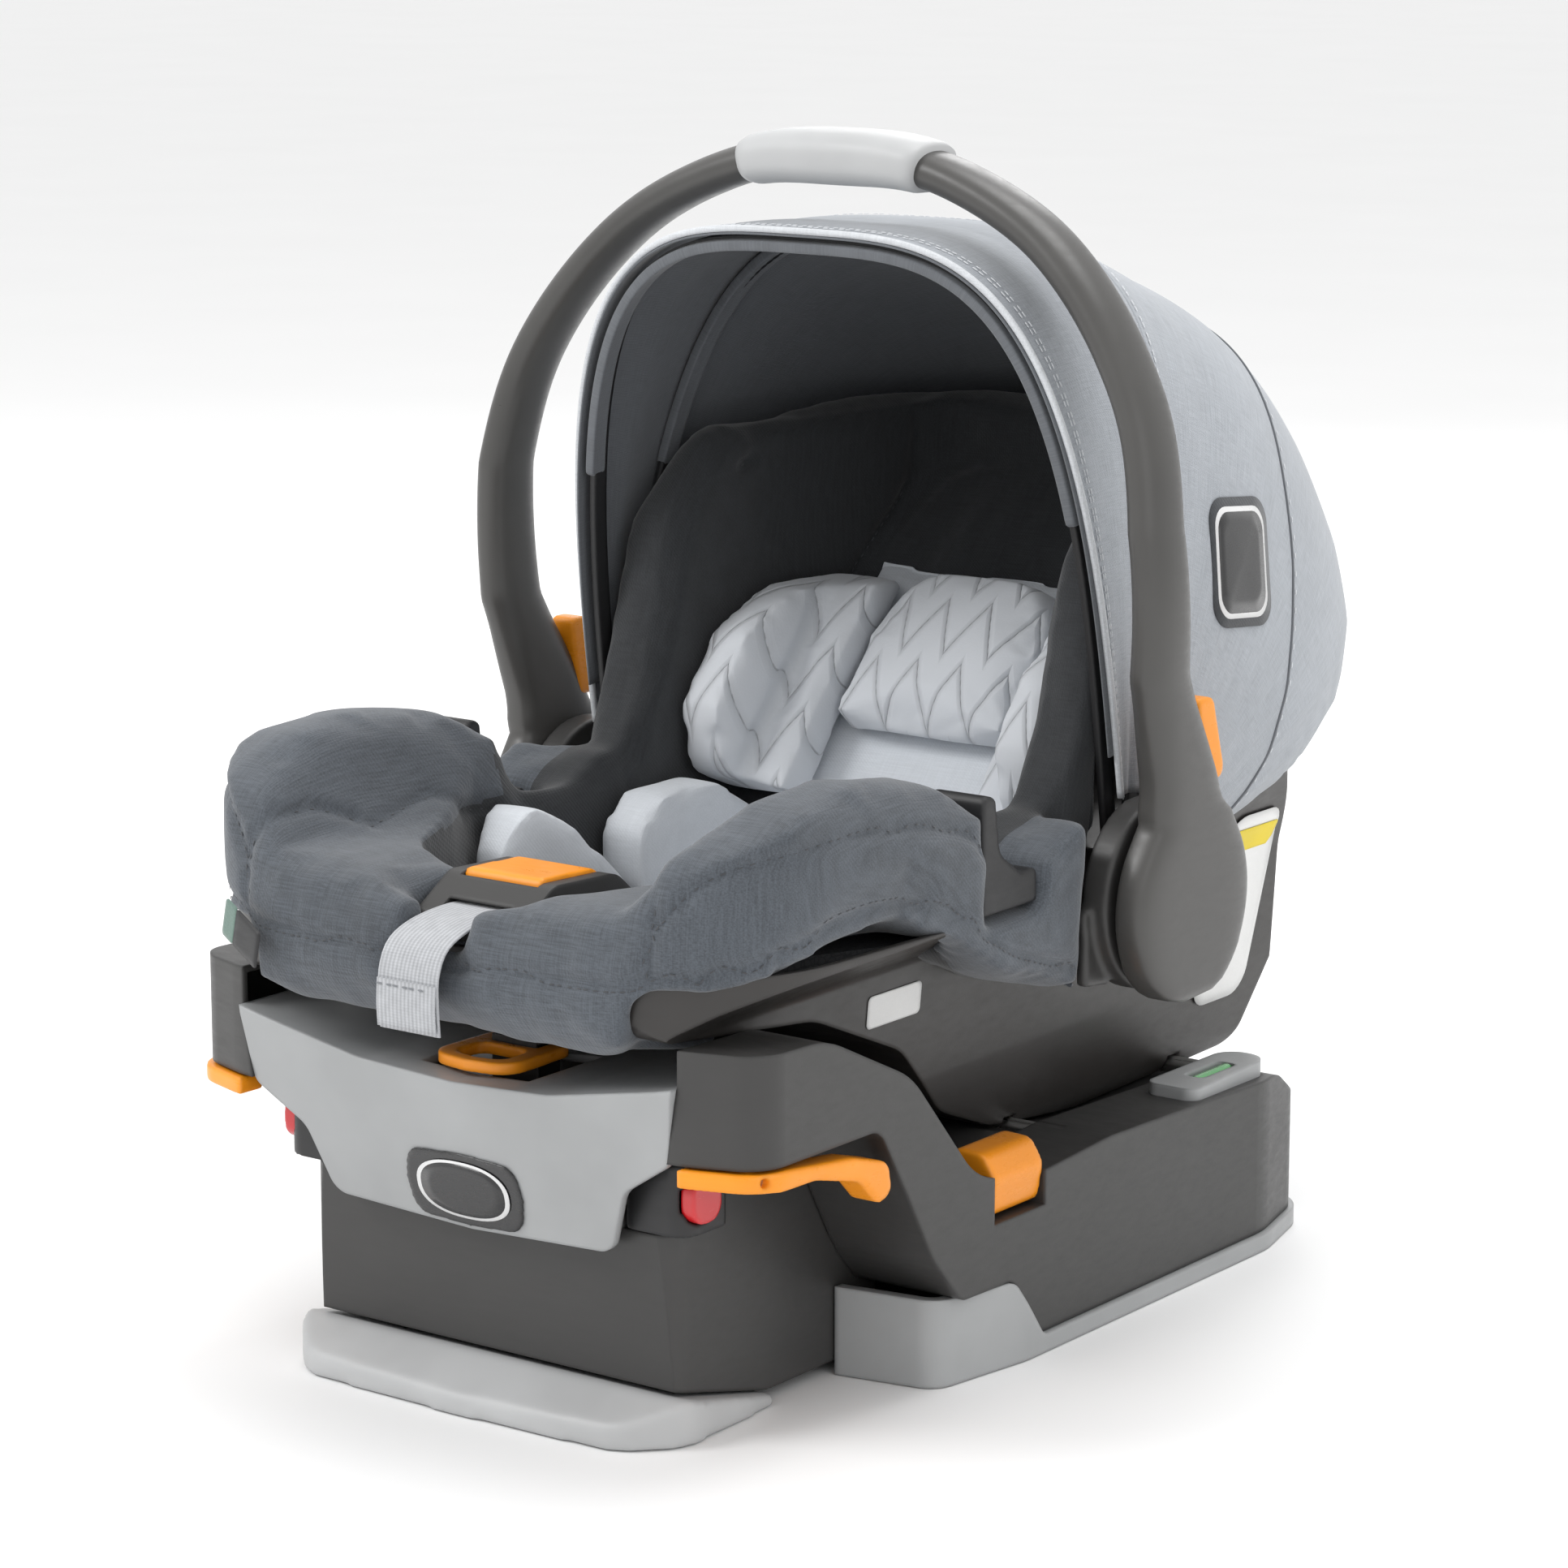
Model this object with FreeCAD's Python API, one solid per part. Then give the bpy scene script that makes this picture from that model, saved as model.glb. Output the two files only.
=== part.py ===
import FreeCAD, Part
import math
import os

# Infant car seat: a carrier with a folding canopy and a carry handle, standing in its base.
# Millimetres, +Z up, -Y the foot end, +X the side on the right of someone who faces the foot end.
# The origin is on the floor, under the middle of the base.

V = FreeCAD.Vector

# ---- driving sizes -------------------------------------------------------------------------
BASE_HALF = 178.0          # half the width of the base's dark casing
BASE_FRONT = -253.0        # front face of the wing across the foot end
BASE_REAR = 285.0
WING_TOP = 205.0
WING_UNDER = 149.0         # underside of the wing, above the foot levers
FLANK_TOP = 99.0           # top of the flanks beside the carrier
CASE_WALL = 3.5            # moulded wall of the base
TRAY_FLOOR = 4.0
TRAY_LIP = 3.0             # how far the tray stands out past the casing
PANEL_HALF = 137.0         # half the width of the light front panel
PANEL_WALL = 4.0
BOX_HALF = 114.0           # half the width of the box above the levelling foot
CRADLE_HALF = 132.0        # half the width of the trough that takes the carrier
CRADLE_GAP = 3.0           # clearance between the carrier's shell and the trough

SHELL_WALL = 4.0
SHELL_HALF = 182.0         # half the width of the shell's rim at the thighs
BACK_HALF = 152.0          # half the width of the shell behind the hubs
SHELL_FRONT = -260.0
SHELL_REAR = 319.0
RIM_TOP = 430.0            # height of the shell's rim at the head
LINING = 12.0              # thickness of the padding that lines the seat
FOAM = 26.0                # thickness of the foam between the padding and the shell
PAD_FRONT = -272.0
ROLL = 7.0                 # how far the padding stands out past the shell's rim
SEAT_HALF = 124.0          # half the width of the hollow that the baby sits in

PIVOT_Y = 82.0             # one axis serves the handle and both canopy bows
PIVOT_Z = 225.0
PIN_R = 8.0
RUN = 0.05                 # radial clearance of a running fit
HUB_R = 54.0               # handle hub
SOCKET_R = 50.0            # fixed socket that the hub turns on
HUB_IN = 192.5             # inner face of the handle hub
HUB_OUT = 216.0
SOCKET_IN = 175.6

CANOPY_HALF = 177.5        # half the width of the rear canopy panel
CANOPY_R = 342.0           # its radius about the pivot axis
CLOTH = 2.0
LAYER = 1.0                # radial gap between one canopy panel and the next
BOW = 3.5                  # thickness of a canopy bow
BOW_WIDE = 10.0
FRONT_HALF = CANOPY_HALF - 2 * (CLOTH + LAYER)      # the front panel nests in the other two
FRONT_R = CANOPY_R - 2 * (CLOTH + LAYER)
BOW_HALF = FRONT_HALF - CLOTH - 2 * LAYER - BOW     # the front bow, inside everything
BOW_RADIUS = FRONT_R - CLOTH - 2 * LAYER
HEM_ANGLE = -9.0           # degrees from upright, positive towards the head end
MID_ANGLE = 12.0
SEAM_ANGLE = 34.0
REAR_ANGLE = 81.0

WEBBING = 38.0             # harness and latch webbing
WEB_THICK = 1.6
RELEASE_Z = 205.0          # bottom of the release handle on the shell's back

NODES = {}


# ---- helpers -------------------------------------------------------------------------------
def unit(a, b):
    """Unit vector and distance from a to b in a plane."""
    du, dv = b[0] - a[0], b[1] - a[1]
    size = math.hypot(du, dv)
    return (du / size, dv / size), size


def outline_edges(corners, at):
    """Edges of a closed outline. A corner is (u, v) or (u, v, radius of its arc)."""
    tangents = []
    count = len(corners)
    for i, corner in enumerate(corners):
        radius = corner[2] if len(corner) > 2 else 0.0
        (pu, pv), before = unit(corner, corners[i - 1])
        (nu, nv), after = unit(corner, corners[(i + 1) % count])
        half = math.acos(max(-1.0, min(1.0, pu * nu + pv * nv))) / 2
        if radius == 0.0 or abs(math.pi / 2 - half) < 1e-3:
            tangents.append((corner[:2], None, corner[:2]))
            continue
        run = min(radius / math.tan(half), 0.48 * before, 0.48 * after)
        radius = run * math.tan(half)
        (bu, bv), _ = unit((0.0, 0.0), (pu + nu, pv + nv))
        reach = radius / math.sin(half) - radius
        start = (corner[0] + pu * run, corner[1] + pv * run)
        middle = (corner[0] + bu * reach, corner[1] + bv * reach)
        end = (corner[0] + nu * run, corner[1] + nv * run)
        tangents.append((start, middle, end))
    edges = []
    for i, (start, middle, end) in enumerate(tangents):
        last = tangents[i - 1][2]
        if math.dist(last, start) > 1e-6:
            edges.append(Part.LineSegment(at(*last), at(*start)).toShape())
        if middle is not None:
            edges.append(Part.Arc(at(*start), at(*middle), at(*end)).toShape())
    return edges


def prism(corners, axis, low, high, grow=0.0):
    """Closed outline pushed along an axis. Its u, v are the other two axes in X, Y, Z order."""
    places = {
        "x": (lambda u, v: V(low, u, v), V(high - low, 0, 0)),
        "y": (lambda u, v: V(u, low, v), V(0, high - low, 0)),
        "z": (lambda u, v: V(u, v, low), V(0, 0, high - low)),
    }
    at, push = places[axis]
    face = Part.Face(Part.Wire(outline_edges(corners, at)))
    if grow:
        face = face.makeOffset2D(grow)
    return face.extrude(push)


def mirrored_outline(half):
    """A left and right outline from its +u half, listed from one end of the middle line on."""
    other = [(-c[0],) + tuple(c[1:]) for c in reversed(half) if abs(c[0]) > 1e-6]
    return list(half) + other


def box(x0, x1, y0, y1, z0, z1):
    return Part.makeBox(x1 - x0, y1 - y0, z1 - z0, V(x0, y0, z0))


def rod(axis, radius, low, high, u, v):
    """Cylinder along an axis, centred on (u, v) of the other two axes."""
    places = {
        "x": (V(low, u, v), V(1, 0, 0)),
        "y": (V(u, low, v), V(0, 1, 0)),
        "z": (V(u, v, low), V(0, 0, 1)),
    }
    at, along = places[axis]
    return Part.makeCylinder(radius, high - low, at, along)


def flipped(shape):
    return shape.mirror(V(0, 0, 0), V(1, 0, 0))


def joined(first, *others):
    return first.fuse(list(others)).removeSplitter()


def largest(shape):
    return max(shape.Solids, key=lambda solid: solid.Volume)


def add(name, shape):
    NODES[name] = shape


def add_group(name, *shapes):
    """Identical pieces that share one node, as separate solids on both sides."""
    add(name, Part.makeCompound([s for shape in shapes for s in (shape, flipped(shape))]))


def add_pair(name, shape):
    """One piece on the +X side, named right, and its mirror image, named left."""
    add(name + "_right", shape)
    add(name + "_left", flipped(shape))


# ---- outlines that several pieces share ------------------------------------------------------
BASE_PLAN = mirrored_outline([
    (0, BASE_FRONT - 3), (PANEL_HALF, BASE_FRONT, 60), (BASE_HALF, BASE_FRONT + 14, 22),
    (BASE_HALF, 215, 60), (BASE_HALF - 18, BASE_REAR, 36), (0, BASE_REAR),
])
BASE_SIDE = [
    (BASE_FRONT - 9, WING_TOP, 12), (-190, WING_TOP - 2, 60), (-120, 170, 60),
    (-62, 104, 50), (-5, FLANK_TOP - 4, 60), (60, FLANK_TOP, 60), (235, 94, 40),
    (BASE_REAR + 8, 60), (BASE_REAR + 8, 10), (-5, 10, 8), (-30, 44, 10), (-76, 45, 10),
    (-100, 72, 40), (-122, 110, 40), (-146, WING_UNDER, 14), (BASE_FRONT - 9, WING_UNDER, 8),
]
SHELL_UNDER = [
    (SHELL_FRONT, 700), (SHELL_FRONT, 218, 8), (SHELL_FRONT + 8, 206, 18), (-130, 192, 60),
    (-52, 160, 40),
    (-10, 118, 40), (42, 98, 60), (135, 86, 120), (285, 92, 25), (SHELL_REAR, 150, 60),
    (SHELL_REAR, 700),
]
RIM = [
    (-300, 238, 0), (-70, 238, 20), (-30, 214, 20), (26, 200, 12), (46, 215, 12),
    (60, 300, 60), (90, 388, 40), (128, RIM_TOP - 8, 30), (340, RIM_TOP, 0),
]
SEAT_SIDE = [
    (-206, 700), (-206, 268, 14), (-176, 236, 40), (-60, 198, 60), (56, 188, 60),
    (112, 206, 50), (286, 405, 40), (296, 700),
]
SEAT_PLAN = mirrored_outline([
    (0, -206), (70, -206, 60), (SEAT_HALF, -90, 60), (SEAT_HALF, 170, 90), (84, 292, 70),
    (0, 296),
])


def front_zone(high, grow=0.0):
    """The room that the front panel fills, across the foot end."""
    half = [
        (0, 90), (88, 94, 12), (101, 128, 14), (131, 147, 8), (PANEL_HALF, 188, 3),
        (PANEL_HALF, high), (0, high),
    ]
    return prism(mirrored_outline(half), "y", -300, -150, grow)


def shell_body(inset=0.0):
    """The shell's outer form, or the same form set in by a wall, open above the rim."""
    under = prism(SHELL_UNDER, "x", -300, 300, -inset)
    back = mirrored_outline([
        (0, 80), (112, 80, 26), (122, 140, 30), (128, 205, 40), (BACK_HALF, 262, 30),
        (BACK_HALF, 700), (0, 700),
    ])
    thigh = mirrored_outline([
        (0, 80), (112, 80, 26), (122, 140, 30), (128, 207, 12), (150, 220, 12),
        (SHELL_HALF, 236, 6), (SHELL_HALF, 700), (0, 700),
    ])
    back_plan = mirrored_outline([(0, SHELL_FRONT), (BACK_HALF, SHELL_FRONT, 90),
                                  (BACK_HALF, SHELL_REAR, 60), (0, SHELL_REAR)])
    thigh_plan = mirrored_outline([
        (0, SHELL_FRONT), (SHELL_HALF - 10, SHELL_FRONT, 146), (SHELL_HALF, -100),
        (SHELL_HALF, 28, 8), (0, 28),
    ])
    back_part = prism(back, "y", -300, 340, -inset).common(prism(back_plan, "z", 0, 700, -inset))
    thigh_part = prism(thigh, "y", -300, 340, -inset)
    thigh_part = thigh_part.common(prism(thigh_plan, "z", 0, 700, -inset))
    return joined(back_part, thigh_part).common(under)


def under_rim(drop=0.0):
    """Everything lower than the shell's rim line, or than that line lowered."""
    top = [(y, z - drop, r) for y, z, r in RIM]
    return prism([(-300, 0)] + top + [(340, 0)], "x", -300, 300)


def seat_hollow(grow=0.0):
    side = prism(SEAT_SIDE, "x", -300, 300, grow)
    return side.common(prism(SEAT_PLAN, "z", 0, 650, grow))


def arch(half, radius, low, thick):
    """Face of a canopy arch in the upright plane through the pivot axis, legs from low up.

    With no thickness given the face is filled.
    """
    def curve(w, r):
        points = []
        steps = 24
        for i in range(steps + 1):
            turn = math.pi * i / steps
            c, s = math.cos(turn), math.sin(turn)
            x = math.copysign(w * abs(c) ** 0.5714, c)
            z = r * max(s, 0.0) ** 0.5714
            if z >= low + 4:
                points.append(V(x, PIVOT_Y, PIVOT_Z + z))
        points = [V(w, PIVOT_Y, PIVOT_Z + low)] + points + [V(-w, PIVOT_Y, PIVOT_Z + low)]
        spline = Part.BSplineCurve()
        spline.interpolate(points)
        return spline.toShape(), points[0], points[-1]
    outer, a, b = curve(half, radius)
    if thick is None:
        return Part.Face(Part.Wire([outer, Part.LineSegment(b, a).toShape()]))
    inner, c, d = curve(half - thick, radius - thick)
    legs = [Part.LineSegment(b, d).toShape(), Part.LineSegment(c, a).toShape()]
    return Part.Face(Part.Wire([outer, legs[0], inner, legs[1]]))


def swung(shape, angle):
    """Turned about the pivot axis, positive towards the head end."""
    turned = shape.copy()
    turned.rotate(V(0, PIVOT_Y, PIVOT_Z), V(-1, 0, 0), angle)
    return turned


def sector(half, radius, low, start, end):
    """A canopy panel: the arch swept round the pivot axis between two angles."""
    face = swung(arch(half, radius, low, CLOTH), start)
    return face.revolve(V(0, PIVOT_Y, PIVOT_Z), V(-1, 0, 0), end - start)


# ---- base ------------------------------------------------------------------------------------
def cradle(grow):
    """The trough in the base, open at the top, shaped to the shell's underside."""
    under = prism(SHELL_UNDER, "x", -CRADLE_HALF - grow, CRADLE_HALF + grow, CRADLE_GAP + grow)
    past = box(-CRADLE_HALF - grow, CRADLE_HALF + grow, 280, 340, 92 - grow, 700)
    return under.fuse(past)


LOCKOFF_Y = (-46.0, -2.0)
LOCKOFF_PIN = (169.0, 85.0)          # x and z of the lock-off's hinge
LOCKOFF_R = 6.0
LEVEL_Y = (148.0, 232.0)
LEVEL_X = (142.0, 174.0)
LEVEL_Z = (84.0, 103.0)
SCREWS = [(x, y) for x in (-155, 155) for y in (60, 130, 250)]
BAR_R = 5.0
BARS = [(60.0, 93.5), (222.0, 92.0)]  # y and z of the bars that the carrier drops over


def lockoff_pocket():
    return box(148, 190, LOCKOFF_Y[0] - 1, LOCKOFF_Y[1] + 1, 77, 140)


def level_plan():
    low, high = LEVEL_Y
    return [(LEVEL_X[0], low, 8), (LEVEL_X[1], low, 8), (LEVEL_X[1] - 4, high, 14),
            (LEVEL_X[0], high, 14)]


def base_casing():
    outer = prism(BASE_SIDE, "x", -200, 200).common(prism(BASE_PLAN, "z", 0, 300))
    inner = prism(BASE_SIDE, "x", -200, 200, -CASE_WALL)
    inner = inner.common(prism(BASE_PLAN, "z", 0, 300, -CASE_WALL))
    under = prism(BASE_PLAN, "z", 5, 30, -CASE_WALL).common(box(-200, 200, 4, 300, 0, 40))
    pocket = lockoff_pocket()
    level = prism(level_plan(), "z", LEVEL_Z[0], 140)
    zone = front_zone(300)
    hollow = inner.fuse(under).cut(cradle(CASE_WALL))
    for piece in (pocket, level):
        wall = piece.BoundBox
        kept = box(wall.XMin - CASE_WALL, 200, wall.YMin - CASE_WALL, wall.YMax + CASE_WALL,
                   wall.ZMin - CASE_WALL, 200)
        hollow = hollow.cut(kept).cut(flipped(kept))
    shell = outer.cut(hollow)
    shell = shell.cut(cradle(0.0)).cut(zone).cut(box(-BOX_HALF - 1, BOX_HALF + 1, -300, -95, 0, 300))
    for piece in (pocket, level):
        shell = shell.cut(piece).cut(flipped(piece))
    for x, y in SCREWS:
        post = rod("z", 6.0, 21, 97, x, y).common(outer).cut(rod("z", 2.0, 20, 45, x, y))
        shell = joined(shell, post)
    for y, z in BARS:
        shell = shell.cut(rod("x", BAR_R, -150, 150, y, z))
    for side in (1, -1):
        slot_x = side * 125
        shell = shell.cut(box(slot_x - 5, slot_x + 5, -100, -90, 100, 145))
    return shell


def build_base():
    casing = base_casing()
    add("base_casing", casing)

    plan = mirrored_outline([
        (0, -93), (117, -93), (168, -84, 12), (BASE_HALF, -20, 40), (BASE_HALF, 215, 60),
        (BASE_HALF - 18, BASE_REAR, 36), (0, BASE_REAR),
    ])
    side = [(-120, 0), (-120, 47), (-30, 43.5, 10), (-5, 9.5, 8), (300, 9.5), (300, 0)]
    tray = prism(plan, "z", 0, 60, TRAY_LIP).common(prism(side, "x", -200, 200))
    inner = prism(plan, "z", TRAY_FLOOR, 60, -CASE_WALL)
    tray = tray.cut(inner)
    tray = tray.cut(box(-BOX_HALF - 1, BOX_HALF + 1, -120, -58, 0, 60))
    for x, y in SCREWS:
        boss = rod("z", 8.0, 0, 20.5, x, y)
        boss = boss.cut(rod("z", 4.8, 0, 8, x, y)).cut(rod("z", 2.0, 8, 21, x, y))
        tray = joined(tray.cut(rod("z", 7.9, 0, 20, x, y)), boss)
    add("base_tray", tray.cut(casing))

    screws = []
    for x, y in SCREWS:
        shaft = rod("z", 1.98, 8, 44, x, y)
        screws.append(joined(rod("z", 4.5, 5, 8, x, y), shaft))
    add("base_screws", Part.makeCompound(screws))

    side = [(-229.5, 146), (-229.5, 104), (-224, 25), (-152, 7), (-60, 7), (-60, 146)]
    plan = mirrored_outline([(0, -232), (BOX_HALF, -230, 12), (BOX_HALF, -60), (0, -60)])
    outer = prism(side, "x", -200, 200).common(prism(plan, "z", 0, 160))
    inner = prism(side, "x", -200, 200, -CASE_WALL).common(prism(plan, "z", 0, 160, -CASE_WALL))
    inner = inner.fuse(box(-BOX_HALF + 4, BOX_HALF - 4, -218, -64, 0, 40))
    stow = box(86, 200, -260, -197, 104, 160)
    wall = box(86 - CASE_WALL, 200, -260, -197 + CASE_WALL, 104 - CASE_WALL, 160)
    front_box = outer.cut(inner.cut(wall).cut(flipped(wall)))
    front_box = front_box.cut(stow).cut(flipped(stow)).cut(cradle(CASE_WALL + 0.5))
    strap_hole = box(-16, 16, -209, -184, 136, 160)
    add("front_box", front_box.cut(casing).cut(strap_hole))

    face = [(-256, 210), (-256, 182), (-250, 140, 80), (-237, 80), (-150, 80), (-150, 210)]
    back = [(y + PANEL_WALL if y < -200 else y + 5, z) for y, z, *_ in face]
    top = mirrored_outline([(0, 60), (140, 60), (140, 187), (PANEL_HALF - 10, 184, 30),
                            (60, 171, 60), (0, 168)])
    below = mirrored_outline([(0, 40), (160, 40), (160, 183), (PANEL_HALF - 10, 180, 30),
                              (60, 167, 60), (0, 164)])
    form = front_zone(300).common(prism(face, "x", -200, 200))
    form = form.common(prism(top, "y", -300, -140))
    room = prism(back, "x", -200, 200).common(prism(below, "y", -300, -140))
    panel = form.cut(room).cut(box(-34, 34, -236, -180, 150, 200))
    panel = panel.cut(box(-200, 200, -300, -140, 0, 200).cut(front_zone(300, -0.3)))
    badge = mirrored_outline([(0, 92), (34, 94, 12), (37, 112, 8), (34, 129, 12), (0, 131)])
    plate = prism(badge, "y", -252.5, -240)
    plate = plate.common(prism([(y - 1.6, z) for y, z, *_ in face], "x", -50, 50))
    add("front_panel", panel)
    add("front_badge", plate.cut(form))

    reach = CRADLE_HALF + CASE_WALL
    bars = [rod("x", BAR_R, -reach, reach, y, z) for y, z in BARS]
    add("receiver_bars", Part.makeCompound(bars))

    cover = prism(level_plan(), "z", *LEVEL_Z, -0.2)
    window = prism([(152, 172, 4), (164, 172, 4), (164, 208, 4), (152, 208, 4)], "z", 94, 110)
    add_group("level_covers", cover.cut(window))
    vial = rod("y", 4.4, 173, 207, 158, 98.4)
    add_group("level_vials", vial)
    seat_pin = rod("y", 3.0, LOCKOFF_Y[0] - 4, LOCKOFF_Y[1] + 4, *LOCKOFF_PIN)
    NODES["base_casing"] = casing.cut(seat_pin).cut(flipped(seat_pin))
    add_group("lockoff_pins", seat_pin)

    x, z = LOCKOFF_PIN
    flap = prism([(149.5, 80, 2), (166, 79.2, 4), (174.6, 82, 5), (177.5, 100, 8), (170, 112, 8),
                  (149.5, 113, 6)], "y", *LOCKOFF_Y)
    flap = flap.fuse(rod("y", LOCKOFF_R, *LOCKOFF_Y, x, z))
    add_pair("lockoff", flap.cut(rod("y", 3.0 + RUN, -60, 10, x, z)))

    webbing = box(BOX_HALF + 1.5, BOX_HALF + 3.1, -197, -100, 107, 137)
    build_latch(webbing)
    build_lever()
    build_foot()
    build_tightener()


def build_latch(webbing):
    body = prism([(89, -234, 6), (127, -234, 10), (127, -199, 4), (89, -199, 4)], "z", 106, 142)
    throat = box(85, 110, -225, -215, 105, 150)
    well = prism([(-231, 112, 9), (-231, 136, 9), (-209, 136, 9), (-209, 112, 9)], "x", 119, 140)
    well_grown = prism([(-231, 112, 9), (-231, 136, 9), (-209, 136, 9), (-209, 112, 9)],
                       "x", 118, 140, 0.4)
    tongue = webbing.common(box(100, 130, -197, -150, 100, 140))
    add_pair("latch_connector", body.cut(throat).cut(well_grown))
    add_pair("latch_button", well.common(box(122, 130.5, -240, -200, 100, 140)))
    add_group("latch_webbing", tongue)


LEVER_PIN = (-236.0, 143.5)
LEVER_PIN_R = 2.5


def build_lever():
    side = [(-262, 148, 2), (-262, 139, 3), (-200, 137, 20), (-165, 128, 15), (-150, 113, 6),
            (-139, 117, 6), (-142, 133, 8), (-170, 141, 15), (-222, 147, 10)]
    ring = prism(BASE_PLAN, "z", 100, 160, 3).cut(prism(BASE_PLAN, "z", 90, 170, -14))
    lever = prism(side, "x", PANEL_HALF + 1, 200).common(ring)
    boss = rod("x", 5.0, 146, 168, *LEVER_PIN)
    bore = rod("x", LEVER_PIN_R + RUN, 130, 190, *LEVER_PIN)
    add_pair("foot_lever", joined(lever, boss).cut(bore))
    pin = rod("x", LEVER_PIN_R, 140, 173, *LEVER_PIN)
    add_group("foot_lever_pins", pin)


FOOT_POSTS = [-62.0, 62.0]
POST_R = 9.0
POST_Y = -188.0


def build_foot():
    plan = mirrored_outline([(0, -258), (100, -254, 30), (124, -228, 22), (120, -150, 6),
                             (0, -150)])
    side = [(-262, 0), (-260, 10, 8), (-226, 23, 10), (-148, 4.6), (-148, 0)]
    plate = prism(plan, "z", 0, 40).common(prism(side, "x", -200, 200))
    posts = [rod("z", POST_R, 10, 118, x, POST_Y) for x in FOOT_POSTS]
    add("levelling_foot", joined(plate, *posts))
    bridge = box(-BOX_HALF + CASE_WALL, BOX_HALF - CASE_WALL, POST_Y - 15, POST_Y + 15, 70, 74)
    guides = [rod("z", POST_R + 4, 45, 98, x, POST_Y) for x in FOOT_POSTS]
    bores = [rod("z", POST_R + RUN, 30, 120, x, POST_Y) for x in FOOT_POSTS]
    guide = joined(bridge, *guides)
    for bore in bores:
        guide = guide.cut(bore)
    add("foot_guide", guide.cut(NODES["front_box"]))


def build_tightener():
    """The pull that tightens the latch webbing, on top of the front panel."""
    loop = prism(mirrored_outline([(0, -244), (26, -240, 14), (24, -188, 10), (0, -186)]),
                 "z", 171, 177)
    hole = prism(mirrored_outline([(0, -236), (16, -233, 8), (15, -212, 6), (0, -212)]),
                 "z", 160, 190)
    webbing = box(-14, 14, -206, -204.4, 120, 180).fuse(box(-14, 14, -206, -186, 178, 179.6))
    webbing = webbing.fuse(box(-14, 14, -187.6, -186, 120, 179.6))
    add("tightener_loop", loop.cut(hole).cut(box(-14.3, 14.3, -206.4, -185, 160, 200)))
    add("tightener_webbing", webbing)


# ---- carrier ---------------------------------------------------------------------------------
GUIDE_Y = (-66.0, -14.0)
HOOK_X = 60.0
HOOK_PIN = (252.0, 122.0)


def canopy_room():
    """What the canopy and its bows sweep round the pivot axis, kept clear of shell and padding."""
    face = Part.Face(Part.Wire(outline_edges(
        [(-230, 40), (230, 40), (230, 430), (-230, 430)],
        lambda u, v: V(u, PIVOT_Y, PIVOT_Z + v))))
    inside = arch(BOW_HALF - BOW - 2, BOW_RADIUS - BOW - 2, 20, None)
    swept = swung(face.cut(inside), HEM_ANGLE - 5)
    swept = swept.revolve(V(0, PIVOT_Y, PIVOT_Z), V(-1, 0, 0), REAR_ANGLE - HEM_ANGLE + 12)
    eyes = rod("x", HUB_R + 2, BACK_HALF + 6, 230, PIVOT_Y, PIVOT_Z)
    return swept.fuse(eyes).fuse(flipped(eyes))


def pad_form():
    plan = mirrored_outline([
        (0, PAD_FRONT + 4), (SHELL_HALF - 4, PAD_FRONT, 140), (SHELL_HALF + ROLL, -100),
        (SHELL_HALF + ROLL, 28, 8), (0, 28),
    ])
    side = [
        (PAD_FRONT - 2, 226, 12), (-223, 234, 20), (-183, 246, 20), (-135, 249, 30), (-86, 230, 20),
        (-41, 204, 20), (28, 181), (28, 277, 4), (-8, 260, 14), (-50, 262, 10), (-64, 292, 14),
        (-93, 310, 20), (-160, 320, 60), (-205, 315, 40), (-250, 294, 30), (PAD_FRONT - 1, 254, 16),
    ]
    front = mirrored_outline([
        (0, 150), (230, 150), (190, 268, 30), (172, 326, 18), (140, 322, 18), (112, 266, 20),
        (0, 262),
    ])
    thighs = prism(plan, "z", 0, 700).common(prism(side, "x", -230, 230))
    thighs = thighs.common(prism(front, "y", -300, 60))
    deep = prism([(-270, 200), (28, 184), (300, 184), (312, RIM_TOP + 3), (120, RIM_TOP + 2, 30),
                  (84, 394, 40), (54, 306, 60), (34, 270, 10), (-60, 250), (-270, 250)],
                 "x", -BACK_HALF, BACK_HALF)
    deep = deep.common(shell_body(0.0).fuse(box(-118, 118, -270, 20, 150, 262)))
    band = prism([(30, 180), (44, 196), (54, 300, 60), (80, 394, 40), (120, RIM_TOP + 10, 30),
                  (326, RIM_TOP + 12, 8), (326, RIM_TOP - 14), (140, RIM_TOP - 26, 20),
                  (108, 380, 40), (76, 290, 60), (64, 200)], "x", -BACK_HALF - 5, BACK_HALF + 5)
    plan = mirrored_outline([(0, 20), (BACK_HALF + 5, 20), (BACK_HALF + 5, SHELL_REAR + 6, 66),
                             (0, SHELL_REAR + 6)])
    band = band.common(prism(plan, "z", 0, 700))
    return thighs.fuse(deep).fuse(band)


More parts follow.
